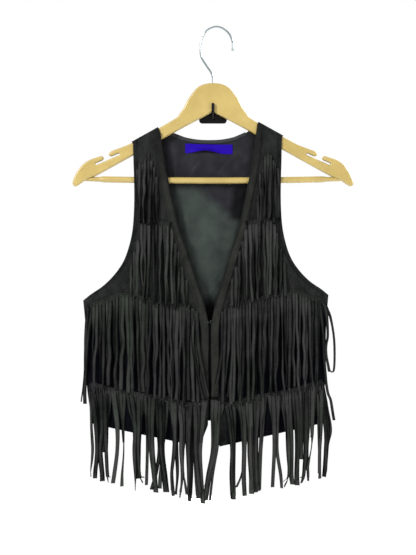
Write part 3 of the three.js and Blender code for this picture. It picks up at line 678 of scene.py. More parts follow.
def loose_way(x, top_z, end_z, tip_x, seed):
    """A way for a strip that no picture shows one by one: down from its root, with a little sway."""
    way = []
    for k in range(7):
        share = k / 6
        sway = 1.5 * uneven(seed + 0.31 * k) * min(1, 2.2 * share) * min(1, (top_z - end_z) / 110)
        way.append((x + (tip_x - x) * share ** 1.4 + sway, lerp(top_z, end_z, share)))
    return way


def along_root(root, steps_each=3):
    """Places along a root line, a few to each stretch of it."""
    for (x1, z1), (x2, z2) in zip(root, root[1:]):
        for k in range(steps_each):
            yield lerp(x1, x2, k / steps_each), lerp(z1, z2, k / steps_each)
    yield root[-1]


def add_header(shape, side, root):
    """Adds the gathered strip along a root line, with a lump between one slit and the next."""
    stops = list(along_root(root, 9))

    def where(u, v):
        i = round(u * (len(stops) - 1))
        a, b = stops[max(0, i - 1)], stops[min(len(stops) - 1, i + 1)]
        long = math.hypot(b[0] - a[0], b[1] - a[1])
        down = HEADER_TALL * (1 - v) - 0.5 * math.sin(0.9 * stops[i][0]) * v
        x = stops[i][0] + down * (b[1] - a[1]) / long
        z = stops[i][1] - down * (b[0] - a[0]) / long
        lump = 0.45 * math.sin(1.05 * x) + 0.35 * math.sin(0.43 * x + 1)
        lift = lump * math.sin(math.pi * min(1, 0.15 + 0.85 * (1 - v)))
        return place(side, x, front_y(x, z) - HEADER_GAP - HEADER_THICK / 2 - max(-0.3, lift), z)

    grid(shape, len(stops) - 1, 4, where, (0.18, HEADER_TALL * MM), 0.3)


def nearest(values, at):
    return min(values, key=lambda value: abs(value - at))
print("strips spread along the rows:", 2 * sum(row["strands"] for row in FRINGE_ROWS))

# %% [markdown]
# The longest strips hang free below the hem, where each one shows against the light. These are placed
# one by one: width, turn, and the way from the root to the tip. So are the strips that cross at the
# centre and the few that swing out past the sides. The others follow a rule with uneven numbers.

# %% Strips placed one by one
ROW_FOUR = {
    -1: [
        (4.7, 1.2, [(185.9, -448), (178.4, -491), (176.1, -530), (179.1, -561), (179.1, -572)]),
        (5.0, 0.3, [(175.4, -448), (169.4, -491), (168.6, -530), (171.6, -561), (172.4, -574)]),
        (6.8, -0.2, [(167.9, -449), (164.1, -491), (164.9, -530), (161.4, -567), (161.1, -578)]),
        (4.7, 0.5, [(160.4, -449), (159.6, -491), (160.4, -533)]),
        (4.7, 1.25, [(154.4, -449), (155.1, -491), (154.4, -530), (153.7, -567), (152.2, -580)]),
        (5.0, 0.3, [(145.4, -449), (138.7, -491), (138.7, -530), (143.2, -567), (145.4, -581)]),
        (4.7, -1.15, [(133.4, -449), (129.7, -491), (129.2, -530), (131.5, -567), (131.9, -586)]),
        (4.7, 1, [(118.4, -449), (111.7, -491), (113.2, -530), (111.7, -567), (111.7, -591)]),
        (7.8, -0.2, [(109.4, -449), (107.9, -491), (107.9, -530), (107.9, -561), (106.4, -574)]),
        (4.7, 1.05, [(103.4, -449), (104.9, -491), (105.7, -530), (104.9, -567), (100.4, -580)]),
        (4.3, -0.9, [(95.9, -449), (93.7, -491), (93.7, -530), (94.7, -567), (95.2, -584)]),
        (7.8, 0.2, [(88.4, -449), (88.4, -491), (86.9, -530), (83.2, -567), (80.9, -595)]),
        (5.0, 0.5, [(79.4, -449), (77.9, -491), (75.7, -530), (80.9, -567), (87.7, -591)]),
        (8.1, -0.1, [(72, -449), (72, -491), (72, -530), (68.2, -567), (65.2, -594)]),
        (4.7, 0.6, [(64.5, -449), (67.5, -491), (71.2, -530), (74.2, -567), (75, -589)]),
        (5.0, -1, [(57, -449), (54, -491), (54, -530), (57, -567), (54.7, -600)]),
        (4.7, 0.7, [(51, -449), (51, -491), (50.2, -530), (48.7, -567), (51, -598)]),
        (4.7, 0.8, [(43.5, -449), (40.5, -491), (42, -530), (42, -567), (45, -603)]),
        (4.7, -1.2, [(39, -449), (37.5, -491), (39, -530), (39, -567), (34.5, -598)]),
        (6.5, 0.4, [(33, -449), (33, -491), (32.2, -530), (30.7, -567), (30.7, -608)]),
        (4.7, 1.1, [(27, -449), (28.5, -491), (27, -530), (27, -567), (28.5, -604)]),
        (7.4, -0.2, [(19.5, -449), (19.5, -491), (21, -530), (19.5, -567), (16.5, -604)]),
        (6.8, 0.3, [(7.5, -449), (12, -491), (15.7, -530), (14.2, -567), (10.5, -612)]),
    ],
    1: [
        (7.8, 0.2, [(6.5, -450), (6.2, -491), (5.6, -530), (-1.6, -567), (-7.2, -608)]),
        (7.0, -0.3, [(12.6, -450), (11.6, -491), (9.4, -530), (0, -567), (-5.6, -586)]),
        (4.7, 1.25, [(17.4, -450), (13.8, -491), (11.2, -530), (4.8, -567), (0, -608)]),
        (7.4, 0.9, [(28.9, -450), (33.7, -491), (36.1, -530), (33.7, -567), (33.7, -604)]),
        (6.8, -0.4, [(36.9, -450), (37.7, -491), (37.7, -530), (36.9, -567), (37.7, -606)]),
        (6.2, 0.2, [(48.1, -450), (53, -491), (54.6, -530), (53.8, -567), (55.4, -600)]),
        (4.7, 1.1, [(54.6, -450), (57.8, -491), (56.2, -530), (50.5, -567), (42.5, -587)]),
        (7.1, -0.2, [(61, -450), (62.6, -491), (63.4, -530), (65.8, -567), (66.6, -597)]),
        (6.2, 0.6, [(67.4, -450), (69, -491), (69.8, -530), (72.2, -567), (73.8, -595)]),
        (6.2, -0.3, [(73.8, -450), (73.8, -491), (73.8, -530), (75.4, -567), (77, -592)]),
        (5.6, 0.4, [(83.4, -450), (83.4, -491), (81, -530), (79.4, -567), (78.6, -591)]),
        (5.0, 0.4, [(101.1, -450), (102.7, -491), (102.7, -530), (101.1, -567), (100.3, -587)]),
        (4.7, -0.7, [(109.1, -450), (107.5, -491), (107.5, -530), (113.1, -567), (114.7, -589)]),
        (4.7, 1.15, [(118.7, -450), (121.9, -491), (124.4, -530), (126, -567), (118.7, -586)]),
        (7.1, -0.1, [(125.2, -450), (128.4, -491), (130, -530), (130, -567), (132.4, -583)]),
        (7.0, 0.15, [(134.8, -450), (138.8, -491), (139.6, -530), (138.8, -567), (139.6, -584)]),
        (6.8, 0.1, [(142.8, -450), (146, -491), (145.2, -530), (145.2, -544)]),
        (5.0, 0.5, [(150.8, -450), (152.4, -491), (152.4, -530), (150, -567), (146, -580)]),
        (4.7, -0.9, [(157.2, -450), (157.2, -491), (155.6, -530), (157.2, -567), (157.2, -578)]),
        (4.7, 0.9, [(165.3, -450), (163.7, -491), (162.9, -522), (155.6, -561)]),
        (5.3, 0.7, [(174.9, -450), (175.7, -491), (175.7, -530), (176.5, -561), (176.5, -575)]),
        (6.8, -0.6, [(184.5, -451), (187.7, -491), (186.9, -530), (184.5, -561), (182.9, -572)]),
        (4.7, 1, [(192.5, -451), (194.2, -491), (189.3, -522), (185.3, -561)]),
    ],
}
ROW_THREE = {
    -1: [
        (5, 0.9, [(183, -306), (186, -340), (187.4, -380), (188, -404), (190.4, -428), (194, -455)]),
        (5.4, 0.5, [(177, -303), (180, -330), (182.9, -356), (185.9, -396), (188, -436), (187.7, -458)]),
        (6.2, 0.2, [(25.5, -311), (26.5, -345), (26.5, -400), (25, -455)]),
        (6, -0.3, [(32, -308), (32.5, -345), (33, -400), (32, -452)]),
        (6, 0.2, [(20.5, -314), (20, -350), (19, -400), (18, -455)]),
        (6, 0.3, [(19, -316), (19.5, -331), (16.5, -375), (7.5, -422), (3, -445)]),
        (5.6, -0.4, [(26.5, -310), (26.2, -331), (24, -375), (16.5, -421), (10.5, -451)]),
    ],
    1: [
        (4.6, 0.9, [(182, -303), (187, -312), (194.2, -330), (199.9, -363), (200.4, -400), (198, -412),
        (193.6, -410)]),
        (5, -0.7, [(179, -303), (186.1, -317), (189.3, -355), (186.1, -378), (191.7, -411)]),
        (5, 0.6, [(175, -302), (181, -350), (184, -400), (189, -440), (194.2, -454), (197.4, -472),
        (199.8, -485)]),
        (6, -0.2, [(24, -312), (24, -345), (22, -400), (20, -455)]),
        (6, 0.3, [(19, -316), (19.3, -332), (19.3, -375), (12, -419), (5.6, -442)]),
        (5.6, -0.4, [(30.5, -308), (30.5, -332), (28.9, -376), (24.1, -419), (18.5, -456)]),
        (5, 0.5, [(38, -306), (38.5, -329), (40.1, -376), (32.1, -419), (27.3, -447)]),
    ],
}


def root_line(root, x, half):
    low, high = root[0][0], root[-1][0]
    return min(between(root, min(max(at, low), high)) for at in (x - half, x + half))


# hanging strips that have another strip close behind them
FOLLOWED = {-1: (1, 2, 4, 9, 11, 13, 15, 17, 19, 21), 1: (0, 3, 5, 7, 9, 13, 15, 17, 20, 21)}


def from_root(root, way, wide):
    x = min(max(way[0][0], root[0][0] + 2), root[-1][0] - 2)
    return [(x, root_line(root, x, wide / 2) - 3.5), *way[1:]]


def follow(way, seed):
    """A way close beside another one, a little shorter."""
    step = 3.2 if uneven(seed) > 0 else -3.2
    last = len(way) - 1
    return [(x + step * (1 - 1.5 * i / last) + 0.8 * uneven(seed + i), z + 9 * (i == last))
            for i, (x, z) in enumerate(way)]
print("strips placed by hand:", sum(map(len, [*ROW_THREE.values(), *ROW_FOUR.values()])))

# %% Make the fringe
def make_fringe(side, word, row, strands, start, stop, root, end, headed):
    shape = bmesh.new()
    if headed:
        add_header(shape, side, headed)
    for i in range(strands):
        seed = 100 * row + 10 * i + 0.37 * side
        x = lerp(start, stop, i / max(1, strands - 1)) + 0.9 * uneven(seed)
        wide = STRIP_WIDE + 1.3 * uneven(seed + 0.5)
        top_z = root_line(root, x, wide / 2) - 3.5
        end_z = between(end, x) - 3 + 5 * uneven(seed + 0.7)
        pull = (0.4 + 0.4 * abs(uneven(seed + 2))) * min(1, (top_z - end_z) / 90)
        tip_x = lerp(x, nearest(GATHERED[side, row], x), pull) + 2.2 * uneven(seed + 0.9)
        layer = FAR_LAYER if i % 2 else NEAR_LAYER
        turn = 1.25 * uneven(seed + 6)
        base = HEADER_GAP + HEADER_THICK / 2 if headed and x > headed[0][0] else SLIT_BASE
        top_z += 6 * uneven(seed + 3) if row == 1 else 0
        # painted light: each row lighter or darker, and the strips on the viewer's right lighter, where the
        # key light from the left leaves them dark
        lit = ROW_LIT[row] + 0.1 * (side > 0)
        add_strip(shape, side, loose_way(x, top_z, end_z, tip_x, seed), wide, turn, layer, seed,
            base=base, lit=lit)
    for i, (wide, turn, way) in enumerate({3: ROW_THREE, 4: ROW_FOUR}.get(row, {side: []})[side]):
        seed = 1000 * row + 10 * i + side
        taper = (1, 1)
        if row == 4:
            wide, taper = wide + 1.5, (1.3, 0.95)
            way = from_root(root, way, wide)
            if i in FOLLOWED[side]:
                behind = from_root(root, follow(way, seed), wide)
                add_strip(shape, side, behind, 5.8, 0.9 * uneven(seed + 2), FAR_LAYER + 2, seed, 4, taper)
        add_strip(shape, side, way, wide, turn * 1.1, FAR_LAYER if i % 2 else NEAR_LAYER, seed, 4, taper)
    if row == 4:
        ways = sorted((from_root(root, way, wide) for wide, _, way in ROW_FOUR[side]),
            key=lambda way: way[0][0])
        for i, (a, b) in enumerate(zip(ways, ways[1:])):
            for share in (0.33, 0.67) if b[0][0] - a[0][0] > 9 else (0.5,):
                seed = FILLER_SEED + 10 * i + 3 * share + side
                joined = a if share + 0.2 * uneven(seed) < 0.5 else b
                x = lerp(a[0][0], b[0][0], share)
                way = [(x, root_line(root, x, 3) - 3.5), (lerp(x, joined[1][0], 0.25), -468),
                       (lerp(x, joined[1][0], 0.7), -487), (joined[2][0] + uneven(seed), joined[2][1] + 12)]
                add_strip(shape, side, way, 5, 0.7 * uneven(seed + 2), 2.6, seed, 4, (1.35, 0.6))
    bmesh.ops.recalc_face_normals(shape, faces=shape.faces)
    toward = [face for face in shape.faces if face.normal.y > 0.2]
    bmesh.ops.reverse_faces(shape, faces=toward)
    piece = thicken(new_piece(f"strips_{word}_{row}", shape), STRIP_THICK, 0)
    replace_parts(piece, f"fringe_{word}_{row}")
    return piece


for side, word in ((-1, "right"), (1, "left")):
    for row in FRINGE_ROWS:
        piece = make_fringe(side, word, **row)
        wide = (row["stop"] - row["start"] + 12) * MM
        tall = (max(z for _, z in row["root"]) - min(z for _, z in row["end"]) + 12) * MM
        hung(piece, (wide, tall))

# %% [markdown]
# A band edges the neck on each side, from the shoulder to the foot of the V, where both bands meet in the
# hook and eye. Below that they hang on down the centre as the two widest strips of the third row.

# %% Neck bands
BAND_WIDE, BAND_HELD = 11.6, 297
BAND_WAY = [
    (78.7, -37), (77.2, -52), (75.4, -78), (72, -96), (68.4, -115), (64.6, -133), (60.9, -150),
    (53.8, -184),
    (44.6, -210), (36.8, -235), (30.8, -255), (25.2, -272), (17.2, -297), (12, -318), (8.6, -338),
    (8.2, -360), (8.6, -385), (9, -415), (7.6, -447),
]


def make_band(side, word):
    def tone(u, v):
        return lerp(0.6, 1, smoothstep(1 - v, 0.03, 0.3))

    shape = bmesh.new()
    add_strip(shape, side, BAND_WAY, BAND_WIDE, 0.06 * side, 3.2, 11 + side, 8, (0.8, 1), 0.85, BAND_HELD,
        tone)
    if side < 0:
        bmesh.ops.reverse_faces(shape, faces=shape.faces)
    piece = thicken(new_piece(f"neck_band_{word}", shape), STRIP_THICK, 0)
    hung(piece, (BAND_WIDE * MM, 0.41))


for side, word in ((-1, "right"), (1, "left")):
    make_band(side, word)

# %% [markdown]
# Rows of machine stitches hold the bands, the armholes, the hems and the roots of the fringe. A stitch
# is a small long bead, laid along a line on the cloth. At this size a few faces each are enough.

# %% Stitches
STITCH_PITCH, STITCH_LONG, STITCH_THICK = 3.3, 2.7, 0.8


def sew(shape, line, out):
    """Lays stitches along a line of places, each moved a little out of the cloth along Y."""
    lift = Vector((0, out, 0)) * MM
    spare = 0
    for a, b in zip(line, line[1:]):
        run = b - a
        at = spare
        while at < run.length:
            middle = a + run.normalized() * at + lift
            lie = run.to_track_quat("X", "Z").to_matrix().to_4x4()
            size = Matrix.Diagonal((STITCH_LONG / 2 * MM, STITCH_THICK / 2 * MM, STITCH_THICK / 2 * MM, 1))
            bmesh.ops.create_icosphere(shape, subdivisions=1, radius=1,
                matrix=Matrix.Translation(middle) @ lie @ size)
            at += STITCH_PITCH * MM
        spare = at - run.length


def across_at(level, from_inner=None, from_edge=None):
    edge_x = smooth([row[0] for row in LEVELS], level, EDGE_CORNERS)
    inner_x = smooth([row[2] for row in LEVELS], level, INNER_CORNERS)
    return from_inner / (edge_x - inner_x) if from_inner else 1 - from_edge / (edge_x - inner_x)


def levels_between(low, high, count=60):
    return [lerp(low, high, k / count) for k in range(count + 1)]


def make_stitches(side, word):
    shape = bmesh.new()
    for inset in (1.9, 10.2):
        line = [front_place(side, across_at(level, from_inner=inset), level)
            for level in levels_between(4.6, 13.9)]
        sew(shape, line, -1.75)
    for inset in (2.2, 6.4):
        line = [front_place(side, across_at(level, from_edge=inset), level)
            for level in levels_between(6.1, 13.9)]
        sew(shape, line, -0.5)
    hem = [front_place(side, across, 0.22) for across in levels_between(0.02, 0.985)]
    sew(shape, hem, -0.15)
    for row in FRINGE_ROWS[1:]:
        stops = [(x, z - 2.2) for x, z in along_root(row["headed"], 6)]
        roots = [place(side, x, front_y(x, z) - HEADER_GAP - HEADER_THICK - 0.05, z) for x, z in stops]
        sew(shape, roots, 0)
    heights = levels_between(-284, -84)
    sew(shape, [back_place(side * (1 - 3 / back_edge(z)), z) for z in heights], 0.12)
    sew(shape, [back_place(side * share, BACK_HEM_Z + 7) for share in levels_between(0.005, 0.985)], 0.12)
    piece = new_piece(f"stitches_{word}", shape)
    print(piece.name, len(piece.data.polygons) // 20, "stitches")


for side, word in ((-1, "right"), (1, "left")):
    make_stitches(side, word)

# %% [markdown]
# The hanger is one flat moulded board. Its outline is drawn for one arm, with the undercut notch for a
# strap, and mirrored. Edge rings extruded from it round the board over to flat faces front and back.

# %% Hanger board
HANGER_OUTLINE = [
    (0, 40), (10, 39), (18.6, 36.4), (25.6, 31.8), (31.2, 25.4), (39.1, 14.3), (45.4, 1.7), (53.3, -9.3),
    (62.9, -18), (123.1, -51.6), (140, -59.2), (190.7, -79.1), (199.5, -84), (206.7, -91), (213, -100.5),
    (217.5, -111), (218.6, -117), (216.6, -120.2), (211.6, -119.9), (196.2, -109.8), (177.5, -101.7),
    (121.2, -70.7), (54.9, -33.8), (0, -4.7),
]
NOTCH_X, NOTCH_Z, NOTCH_SLOPE = 164.2, -78.4, math.radians(-23.4)
NOTCH_WAY = [
    (-13, 8.9), (-9.5, 8.7), (-6.6, 8), (-5, 6.4), (-4.6, 4.6), (-5.2, 2.9), (-7.3, 1.6), (-13, 1.5),
    (-19.2, 1.5), (-20.3, 0.8),
    (-20.3, -0.8), (-19.2, -1.5), (-10, -1.5), (0, -1.5), (10, -1.5), (19.2, -1.5), (20.3, -0.8),
    (20.3, 0.8), (19.2, 1.5), (13, 1.5), (7.3, 1.6), (5.2, 2.9), (4.6, 4.6), (5, 6.4), (6.6, 8),
    (9.5, 8.7), (13, 8.9),
]
HANGER_ROUND = 2.4


def in_notch(x, y):
    c, s = math.cos(NOTCH_SLOPE), math.sin(NOTCH_SLOPE)
    return NOTCH_X + x * c - y * s, NOTCH_Z + x * s + y * c


def half_outline():
    first, last = HANGER_OUTLINE[:11], HANGER_OUTLINE[11:]
    arm = first + [in_notch(x, y) for x, y in NOTCH_WAY] + last
    fine = []
    for i in range(len(arm) - 1):
        steps = max(1, round(math.dist(arm[i], arm[i + 1]) / 3))
        for k in range(steps):
            fine.append(tuple(smooth([p[c] for p in arm], i + k / steps, (0, len(arm) - 1)) for c in (0, 1)))
    return [*fine, arm[-1]]


def make_board():
    half = half_outline()
    whole = half + [(-x, z) for x, z in reversed(half[1:-1])]
    count = len(whole)
    inward = []
    for i in range(count):
        (ax, az), (bx, bz) = whole[i - 1], whole[(i + 1) % count]
        long = math.hypot(bx - ax, bz - az)
        inward.append(((bz - az) / long, -(bx - ax) / long))
    turns = [math.radians(15 * k) for k in range(7)]
    flat = HANGER_THICK / 2 - HANGER_EDGE
    way = [(-flat - HANGER_EDGE * math.cos(t), HANGER_ROUND * (1 - math.sin(t))) for t in turns]
    way += [(-y, inset) for y, inset in reversed(way)]

    def where(u, v):
        i = round(u * count) % count
        y, inset = way[round(v * (len(way) - 1))]
        (x, z), (nx, nz) = whole[i], inward[i]
        return Vector((x + nx * inset, HANGER_MID_Y + y, z + nz * inset)) * MM

    shape = bmesh.new()
    grid(shape, count, len(way) - 1, where, (1, 0.02))
    bmesh.ops.remove_doubles(shape, verts=shape.verts, dist=0.004 * MM)
    for side in (-1, 1):
        rim = [e for e in shape.edges if e.is_boundary and side * (e.verts[0].co.y / MM - HANGER_MID_Y) > 0]
        bmesh.ops.triangle_fill(shape, use_beauty=True, use_dissolve=False, edges=rim)
    bmesh.ops.recalc_face_normals(shape, faces=shape.faces)
    piece = new_piece("hanger", shape)
    for face in piece.data.polygons:
        face.use_smooth = len(face.vertices) == 4
    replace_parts(piece, "hanger_board")


make_board()
print("hanger outline:", len(HANGER_OUTLINE), "places an arm")

# %% [markdown]
# Round parts are swept: a grid is rolled round a middle line, as wide as the bar or wire is thick
# there, and its doubles are merged so the seam and both ends close. This makes the trouser bar with its
# narrower necks, the bright wire hook, the black prong and the hook and eye.

# %% Bar and wires
def fine_line(points, each=6, corners=()):
    count = (len(points) - 1) * each
    return [Vector([smooth([p[c] for p in points], k / each, corners) for c in range(3)])
        for k in range(count + 1)]


def sweep(shape, line, radius, around=16):
    """Rolls a grid round a line. radius is a number, or a function of the share along it."""
    thick = radius if callable(radius) else (lambda share: radius)
    runs = [(line[min(i + 2, len(line) - 1)] - line[max(i - 2, 0)]).normalized() for i in range(len(line))]
    side = runs[0].orthogonal().normalized()
    sides = []
    for run in runs:
        side = (side - run * side.dot(run)).normalized()
        sides.append(side)

    def where(u, v):
        i = round(v * (len(line) - 1))
        turn = 2 * math.pi * u
        out = sides[i] * math.cos(turn) + runs[i].cross(sides[i]) * math.sin(turn)
        return (line[i] + out * thick(i / (len(line) - 1))) * MM

    grid(shape, around, len(line) - 1, where, (2 * math.pi * thick(0.5) * MM, 0.2))


def close(shape):
    bmesh.ops.remove_doubles(shape, verts=shape.verts, dist=0.004 * MM)
    bmesh.ops.recalc_face_normals(shape, faces=shape.faces)


BAR_HALF, BAR_END_Z, BAR_SAG = 203, -109, 2.6
# radius by distance from the middle, and the extra stops that its shoulder needs
BAR_PROFILE = [(0, 4.9), (166, 4.9), (170, 4.8), (172.5, 4.55), (174.5, 4.1), (177, 3.8), (186, 3.65),
    (203, 3.5)]
BAR_STOPS = (168, 170, 172, 174, 175, 177)


def make_bar():
    line, thick = [], []
    stops = sorted({*range(-BAR_HALF, BAR_HALF + 1, 7), *(end * x for end in (-1, 1) for x in BAR_STOPS)})
    for x in stops:
        line.append(Vector((x, HANGER_MID_Y, BAR_END_Z - BAR_SAG * (1 - (x / BAR_HALF) ** 2))))
        thick.append(between(BAR_PROFILE, abs(x)))
    line = [line[0], *line, line[-1]]
    thick = [0, *thick, 0]
    shape = bmesh.new()
    sweep(shape, line, lambda share: thick[round(share * (len(line) - 1))], 28)
    close(shape)
    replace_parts(new_piece("round_bar", shape), "trouser_bar")


make_bar()
WIRE_RADIUS, WIRE_BULB = 1.5, 2.3
WIRE_LINE = [
    (0, -11, 22.3), (0, -11, 40.6), (-1.6, -11, 54), (-9.5, -11, 66.5), (-17.3, -11, 79), (-19.6, -11, 92),
    (-17.4, -11, 108.5), (-10.9, -11, 120.8), (0.5, -11, 127.4), (12, -11, 127), (24.2, -11, 118.4),
    (30, -11, 106), (31, -11, 92.4),
]
PRONG_RADIUS = 2.3
PRONG_LINE = [
    (0, -2, -15), (0, -7, -11.4), (0, -11, -8.7), (0, -14.5, -7.7), (0, -17.8, -7.5), (0, -20, -4),
    (0, -20.5, 6.1),
]


def add_ball(shape, centre, radius):
    place_it = Matrix.Translation(Vector(centre) * MM)
    bmesh.ops.create_uvsphere(shape, u_segments=20, v_segments=12, radius=radius * MM, matrix=place_it)


def make_wire_hook():
    shape = bmesh.new()
    sweep(shape, fine_line(WIRE_LINE, 8), WIRE_RADIUS, 18)
    add_ball(shape, WIRE_LINE[-1], WIRE_BULB)
    close(shape)
    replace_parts(new_piece("hook_wire", shape), "wire_hook")


make_wire_hook()
PLATE_SIZE, PLATE_THICK, PLATE_CORNER = 43.4, 4, 5


def make_wall_hook():
    shape = bmesh.new()
    size = Matrix.Translation(Vector((0, -PLATE_THICK / 2, 0)) * MM) @ Matrix.Diagonal(
        (PLATE_SIZE * MM, PLATE_THICK * MM, PLATE_SIZE * MM, 1))
    bmesh.ops.create_cube(shape, size=1, matrix=size)
    corners = [e for e in shape.edges if abs((e.verts[0].co - e.verts[1].co).y) > MM]
    bmesh.ops.bevel(shape, geom=corners, offset=PLATE_CORNER * MM, segments=8, profile=0.5,
        affect="EDGES", material=-1)
    rim = [e for e in shape.edges if all(v.co.y < -PLATE_THICK * 0.9 * MM for v in e.verts)]
    bmesh.ops.bevel(shape, geom=rim, offset=0.9 * MM, segments=4, profile=0.5, affect="EDGES", material=-1)
    sweep(shape, fine_line(PRONG_LINE, 7), PRONG_RADIUS, 20)
    add_ball(shape, PRONG_LINE[-1], PRONG_RADIUS)
    close(shape)
    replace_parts(new_piece("black_hook", shape), "wall_hook")


make_wall_hook()
CLOSURE_Z, EYE_RADIUS, EYE_WIRE, HOOK_WIRE, HOOK_CURL = -331.7, 2.4, 0.5, 0.4, 1.25


def make_closure():
    eye_y = front_y(3, CLOSURE_Z) - SEAM_GAP - EYE_WIRE
    ring = [Vector((VEST_CENTRE_X + 1.25 * EYE_RADIUS * (1 + math.cos(t)), eye_y,
        CLOSURE_Z + EYE_RADIUS * math.sin(t)))
            for t in (2 * math.pi * k / 32 for k in range(33))]
    shape = bmesh.new()
    sweep(shape, ring, EYE_WIRE, 10)
    close(shape)
    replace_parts(new_piece("neck_eye", shape), "closure_eye")
    flat = front_y(6, CLOSURE_Z) - SEAM_GAP - HOOK_WIRE
    way = [(-9, flat), (-6, flat), (-3.4, flat - 0.5), (-1.2, eye_y - HOOK_CURL)]
    way += [(HOOK_CURL * math.cos(t), eye_y - HOOK_CURL * math.sin(t))
        for t in map(math.radians, (90, 50, 10, -30, -70))]
    shape = bmesh.new()
    sweep(shape, fine_line([(VEST_CENTRE_X + x, y, CLOSURE_Z) for x, y in way], 4), HOOK_WIRE, 10)
    close(shape)
    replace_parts(new_piece("neck_hook", shape), "closure_hook")


make_closure()
print("hard pieces made")

# %% [markdown]
# Shader maths reads best as plain sums, so a small class wraps a socket and adds a Math node for each
# operator. One method makes every other node: settings first, then the values or links of its sockets.

# %% Material helpers
class Wire:
    def __init__(self, finish, socket):
        self.finish, self.socket = finish, socket

    def maths(self, operation, *values):
        return self.finish.node("Math", {"operation": operation}, dict(enumerate(values)))

    def __add__(self, other):
        return self.maths("ADD", self, other)

    def __sub__(self, other):
        return self.maths("SUBTRACT", self, other)

    def __rsub__(self, other):
        return self.maths("SUBTRACT", other, self)

    def __mul__(self, other):
        return self.maths("MULTIPLY", self, other)

    __radd__ = __add__
    __rmul__ = __mul__


class Finish:
    """One material: its node tree, its main shader and short ways to add nodes."""

    def __init__(self, name, **constants):
        self.material = bpy.data.materials.new(name)
        self.material.use_nodes = True
        self.tree = self.material.node_tree
        self.shader = next(n for n in self.tree.nodes if n.type == "BSDF_PRINCIPLED")
        for key, value in constants.items():
            self.shader.inputs[key.replace("_", " ")].default_value = value

    def put(self, socket, value):
        if isinstance(value, Wire):
            self.tree.links.new(value.socket, socket)
        else:
            socket.default_value = value

    def node(self, kind, settings=None, values=None, out=0):
        made = self.tree.nodes.new("ShaderNode" + kind)
        for key, value in (settings or {}).items():
            if key == "stops":
                ramp = made.color_ramp.elements
                for spot, shade in value[2:]:
                    ramp.new(spot).color = shade
                for element, (spot, shade) in zip((ramp[0], ramp[len(ramp) - 1]), (value[0], value[1])):
                    element.position, element.color = spot, shade
            else:
                setattr(made, key, value)
        for key, value in (values or {}).items():
            self.put(made.inputs[key], value)
        return Wire(self, made.outputs[out])

    def coords(self, output="Object"):
        return self.node("TexCoord", out=output)

    def noise(self, where, scale, detail=3, rough=0.6, stretch=None, out=0):
        if stretch:
            where = self.node("Mapping", None, {"Vector": where, "Scale": stretch})
        return self.node("TexNoise", None,
            {"Vector": where, "Scale": scale, "Detail": detail, "Roughness": rough}, out)

    def ramp(self, value, low, high):
        return self.node("MapRange", {"clamp": True}, {"Value": value, "From Min": low, "From Max": high})

    def mix(self, share, a, b):
        mixed = self.node("Mix", {"data_type": "RGBA"}, {0: share, 6: a, 7: b}, 2)
        return mixed

    def colour(self, value):
        self.put(self.shader.inputs["Base Color"], value)

    def roughness(self, value):
        self.put(self.shader.inputs["Roughness"], value)

    def bump(self, height, distance, strength=1):
        made = self.node("Bump", None, {"Height": height, "Distance": distance, "Strength": strength})
        self.put(self.shader.inputs["Normal"], made)


def dress(finish, *names):
    for name in names:
        piece = bpy.data.objects[name]
        piece.data.materials.clear()
        piece.data.materials.append(finish.material)


def rgb(red, green, blue):
    """A colour as the eye reads it, 0 to 255, made linear."""
    return tuple(((c / 255 + 0.055) / 1.055) ** 2.4 if c > 10 else c / 255 / 12.92
        for c in (red, green, blue)) + (1,)


print("helpers ready")

# %% [markdown]
# Suede is leather or a brushed imitation of it, with a short nap on its face. It has no gloss, but the
# nap catches light at a slant as a soft sheen, and hands and folds leave lighter and darker patches.

# %% Suede
def make_suede(name, dark, light, fringe):
    suede = Finish(name, Sheen_Weight=0.02, Sheen_Roughness=0.5, Specular_IOR_Level=0.015)
    suede.shader.inputs["Sheen Tint"].default_value = (0.7, 0.72, 0.75, 1)
    where = suede.coords("Object")
    nap = suede.noise(where, 420, 3, 0.7)
    grain = suede.noise(where, 1500, 2, 0.6)
    tone = suede.node("Attribute", {"attribute_name": "tone"}, None, "Fac")
    if fringe:
        patches = suede.noise(where, 38, 4, 0.55)
        shade = suede.ramp(patches * 0.6 + nap * 0.4, 0.36, 0.66)
        cloth = suede.coords("UV")
        streaks = suede.noise(cloth, 60, 3, 0.6, (9, 1, 1))
        edge = suede.node("Attribute", {"attribute_name": "edge"}, None, "Fac")
        free = suede.ramp(suede.node("SeparateXYZ", None, {"Vector": where}, "Z") * -1, 0.46, 0.53)
        # painted shade along each strip's long edges; lighter below the hem, where the strips hang free
        shade = suede.ramp(shade * 0.35 + tone * 0.5 + streaks * 0.45 - edge * 0.55 + free * 0.14, 0.2, 1)
        cast = suede.ramp(suede.noise(where, 11, 2, 0.5), 0.35, 0.65)
        suede.colour(suede.mix(shade, dark, suede.mix(cast, light, rgb(39, 43, 38))))
    else:
        shade = suede.ramp(suede.noise(where, 75, 4, 0.6, (1, 1, 0.6)) * 0.6 + nap * 0.4, 0.32, 0.68)
        # where the tone is low, as under the fringe, the suede turns near-black navy: its own colour, painted
        # darker as shade
        under = suede.mix(shade, rgb(2, 2, 4), rgb(6, 7, 12))
        suede.colour(suede.mix(tone, under, suede.mix(shade, dark, light)))
    suede.roughness(0.86 + 0.1 * nap)
    suede.bump(nap * 0.6 + grain * 0.4, 0.0004, 0.55)
    return suede


panel_suede = make_suede("panel suede", rgb(12, 13, 13), rgb(25, 26, 26), False)
fringe_suede = make_suede("fringe suede", rgb(4, 4, 5), rgb(45, 44, 45), True)
band_suede = make_suede("neck band suede", rgb(17, 18, 17), rgb(35, 36, 33), False)
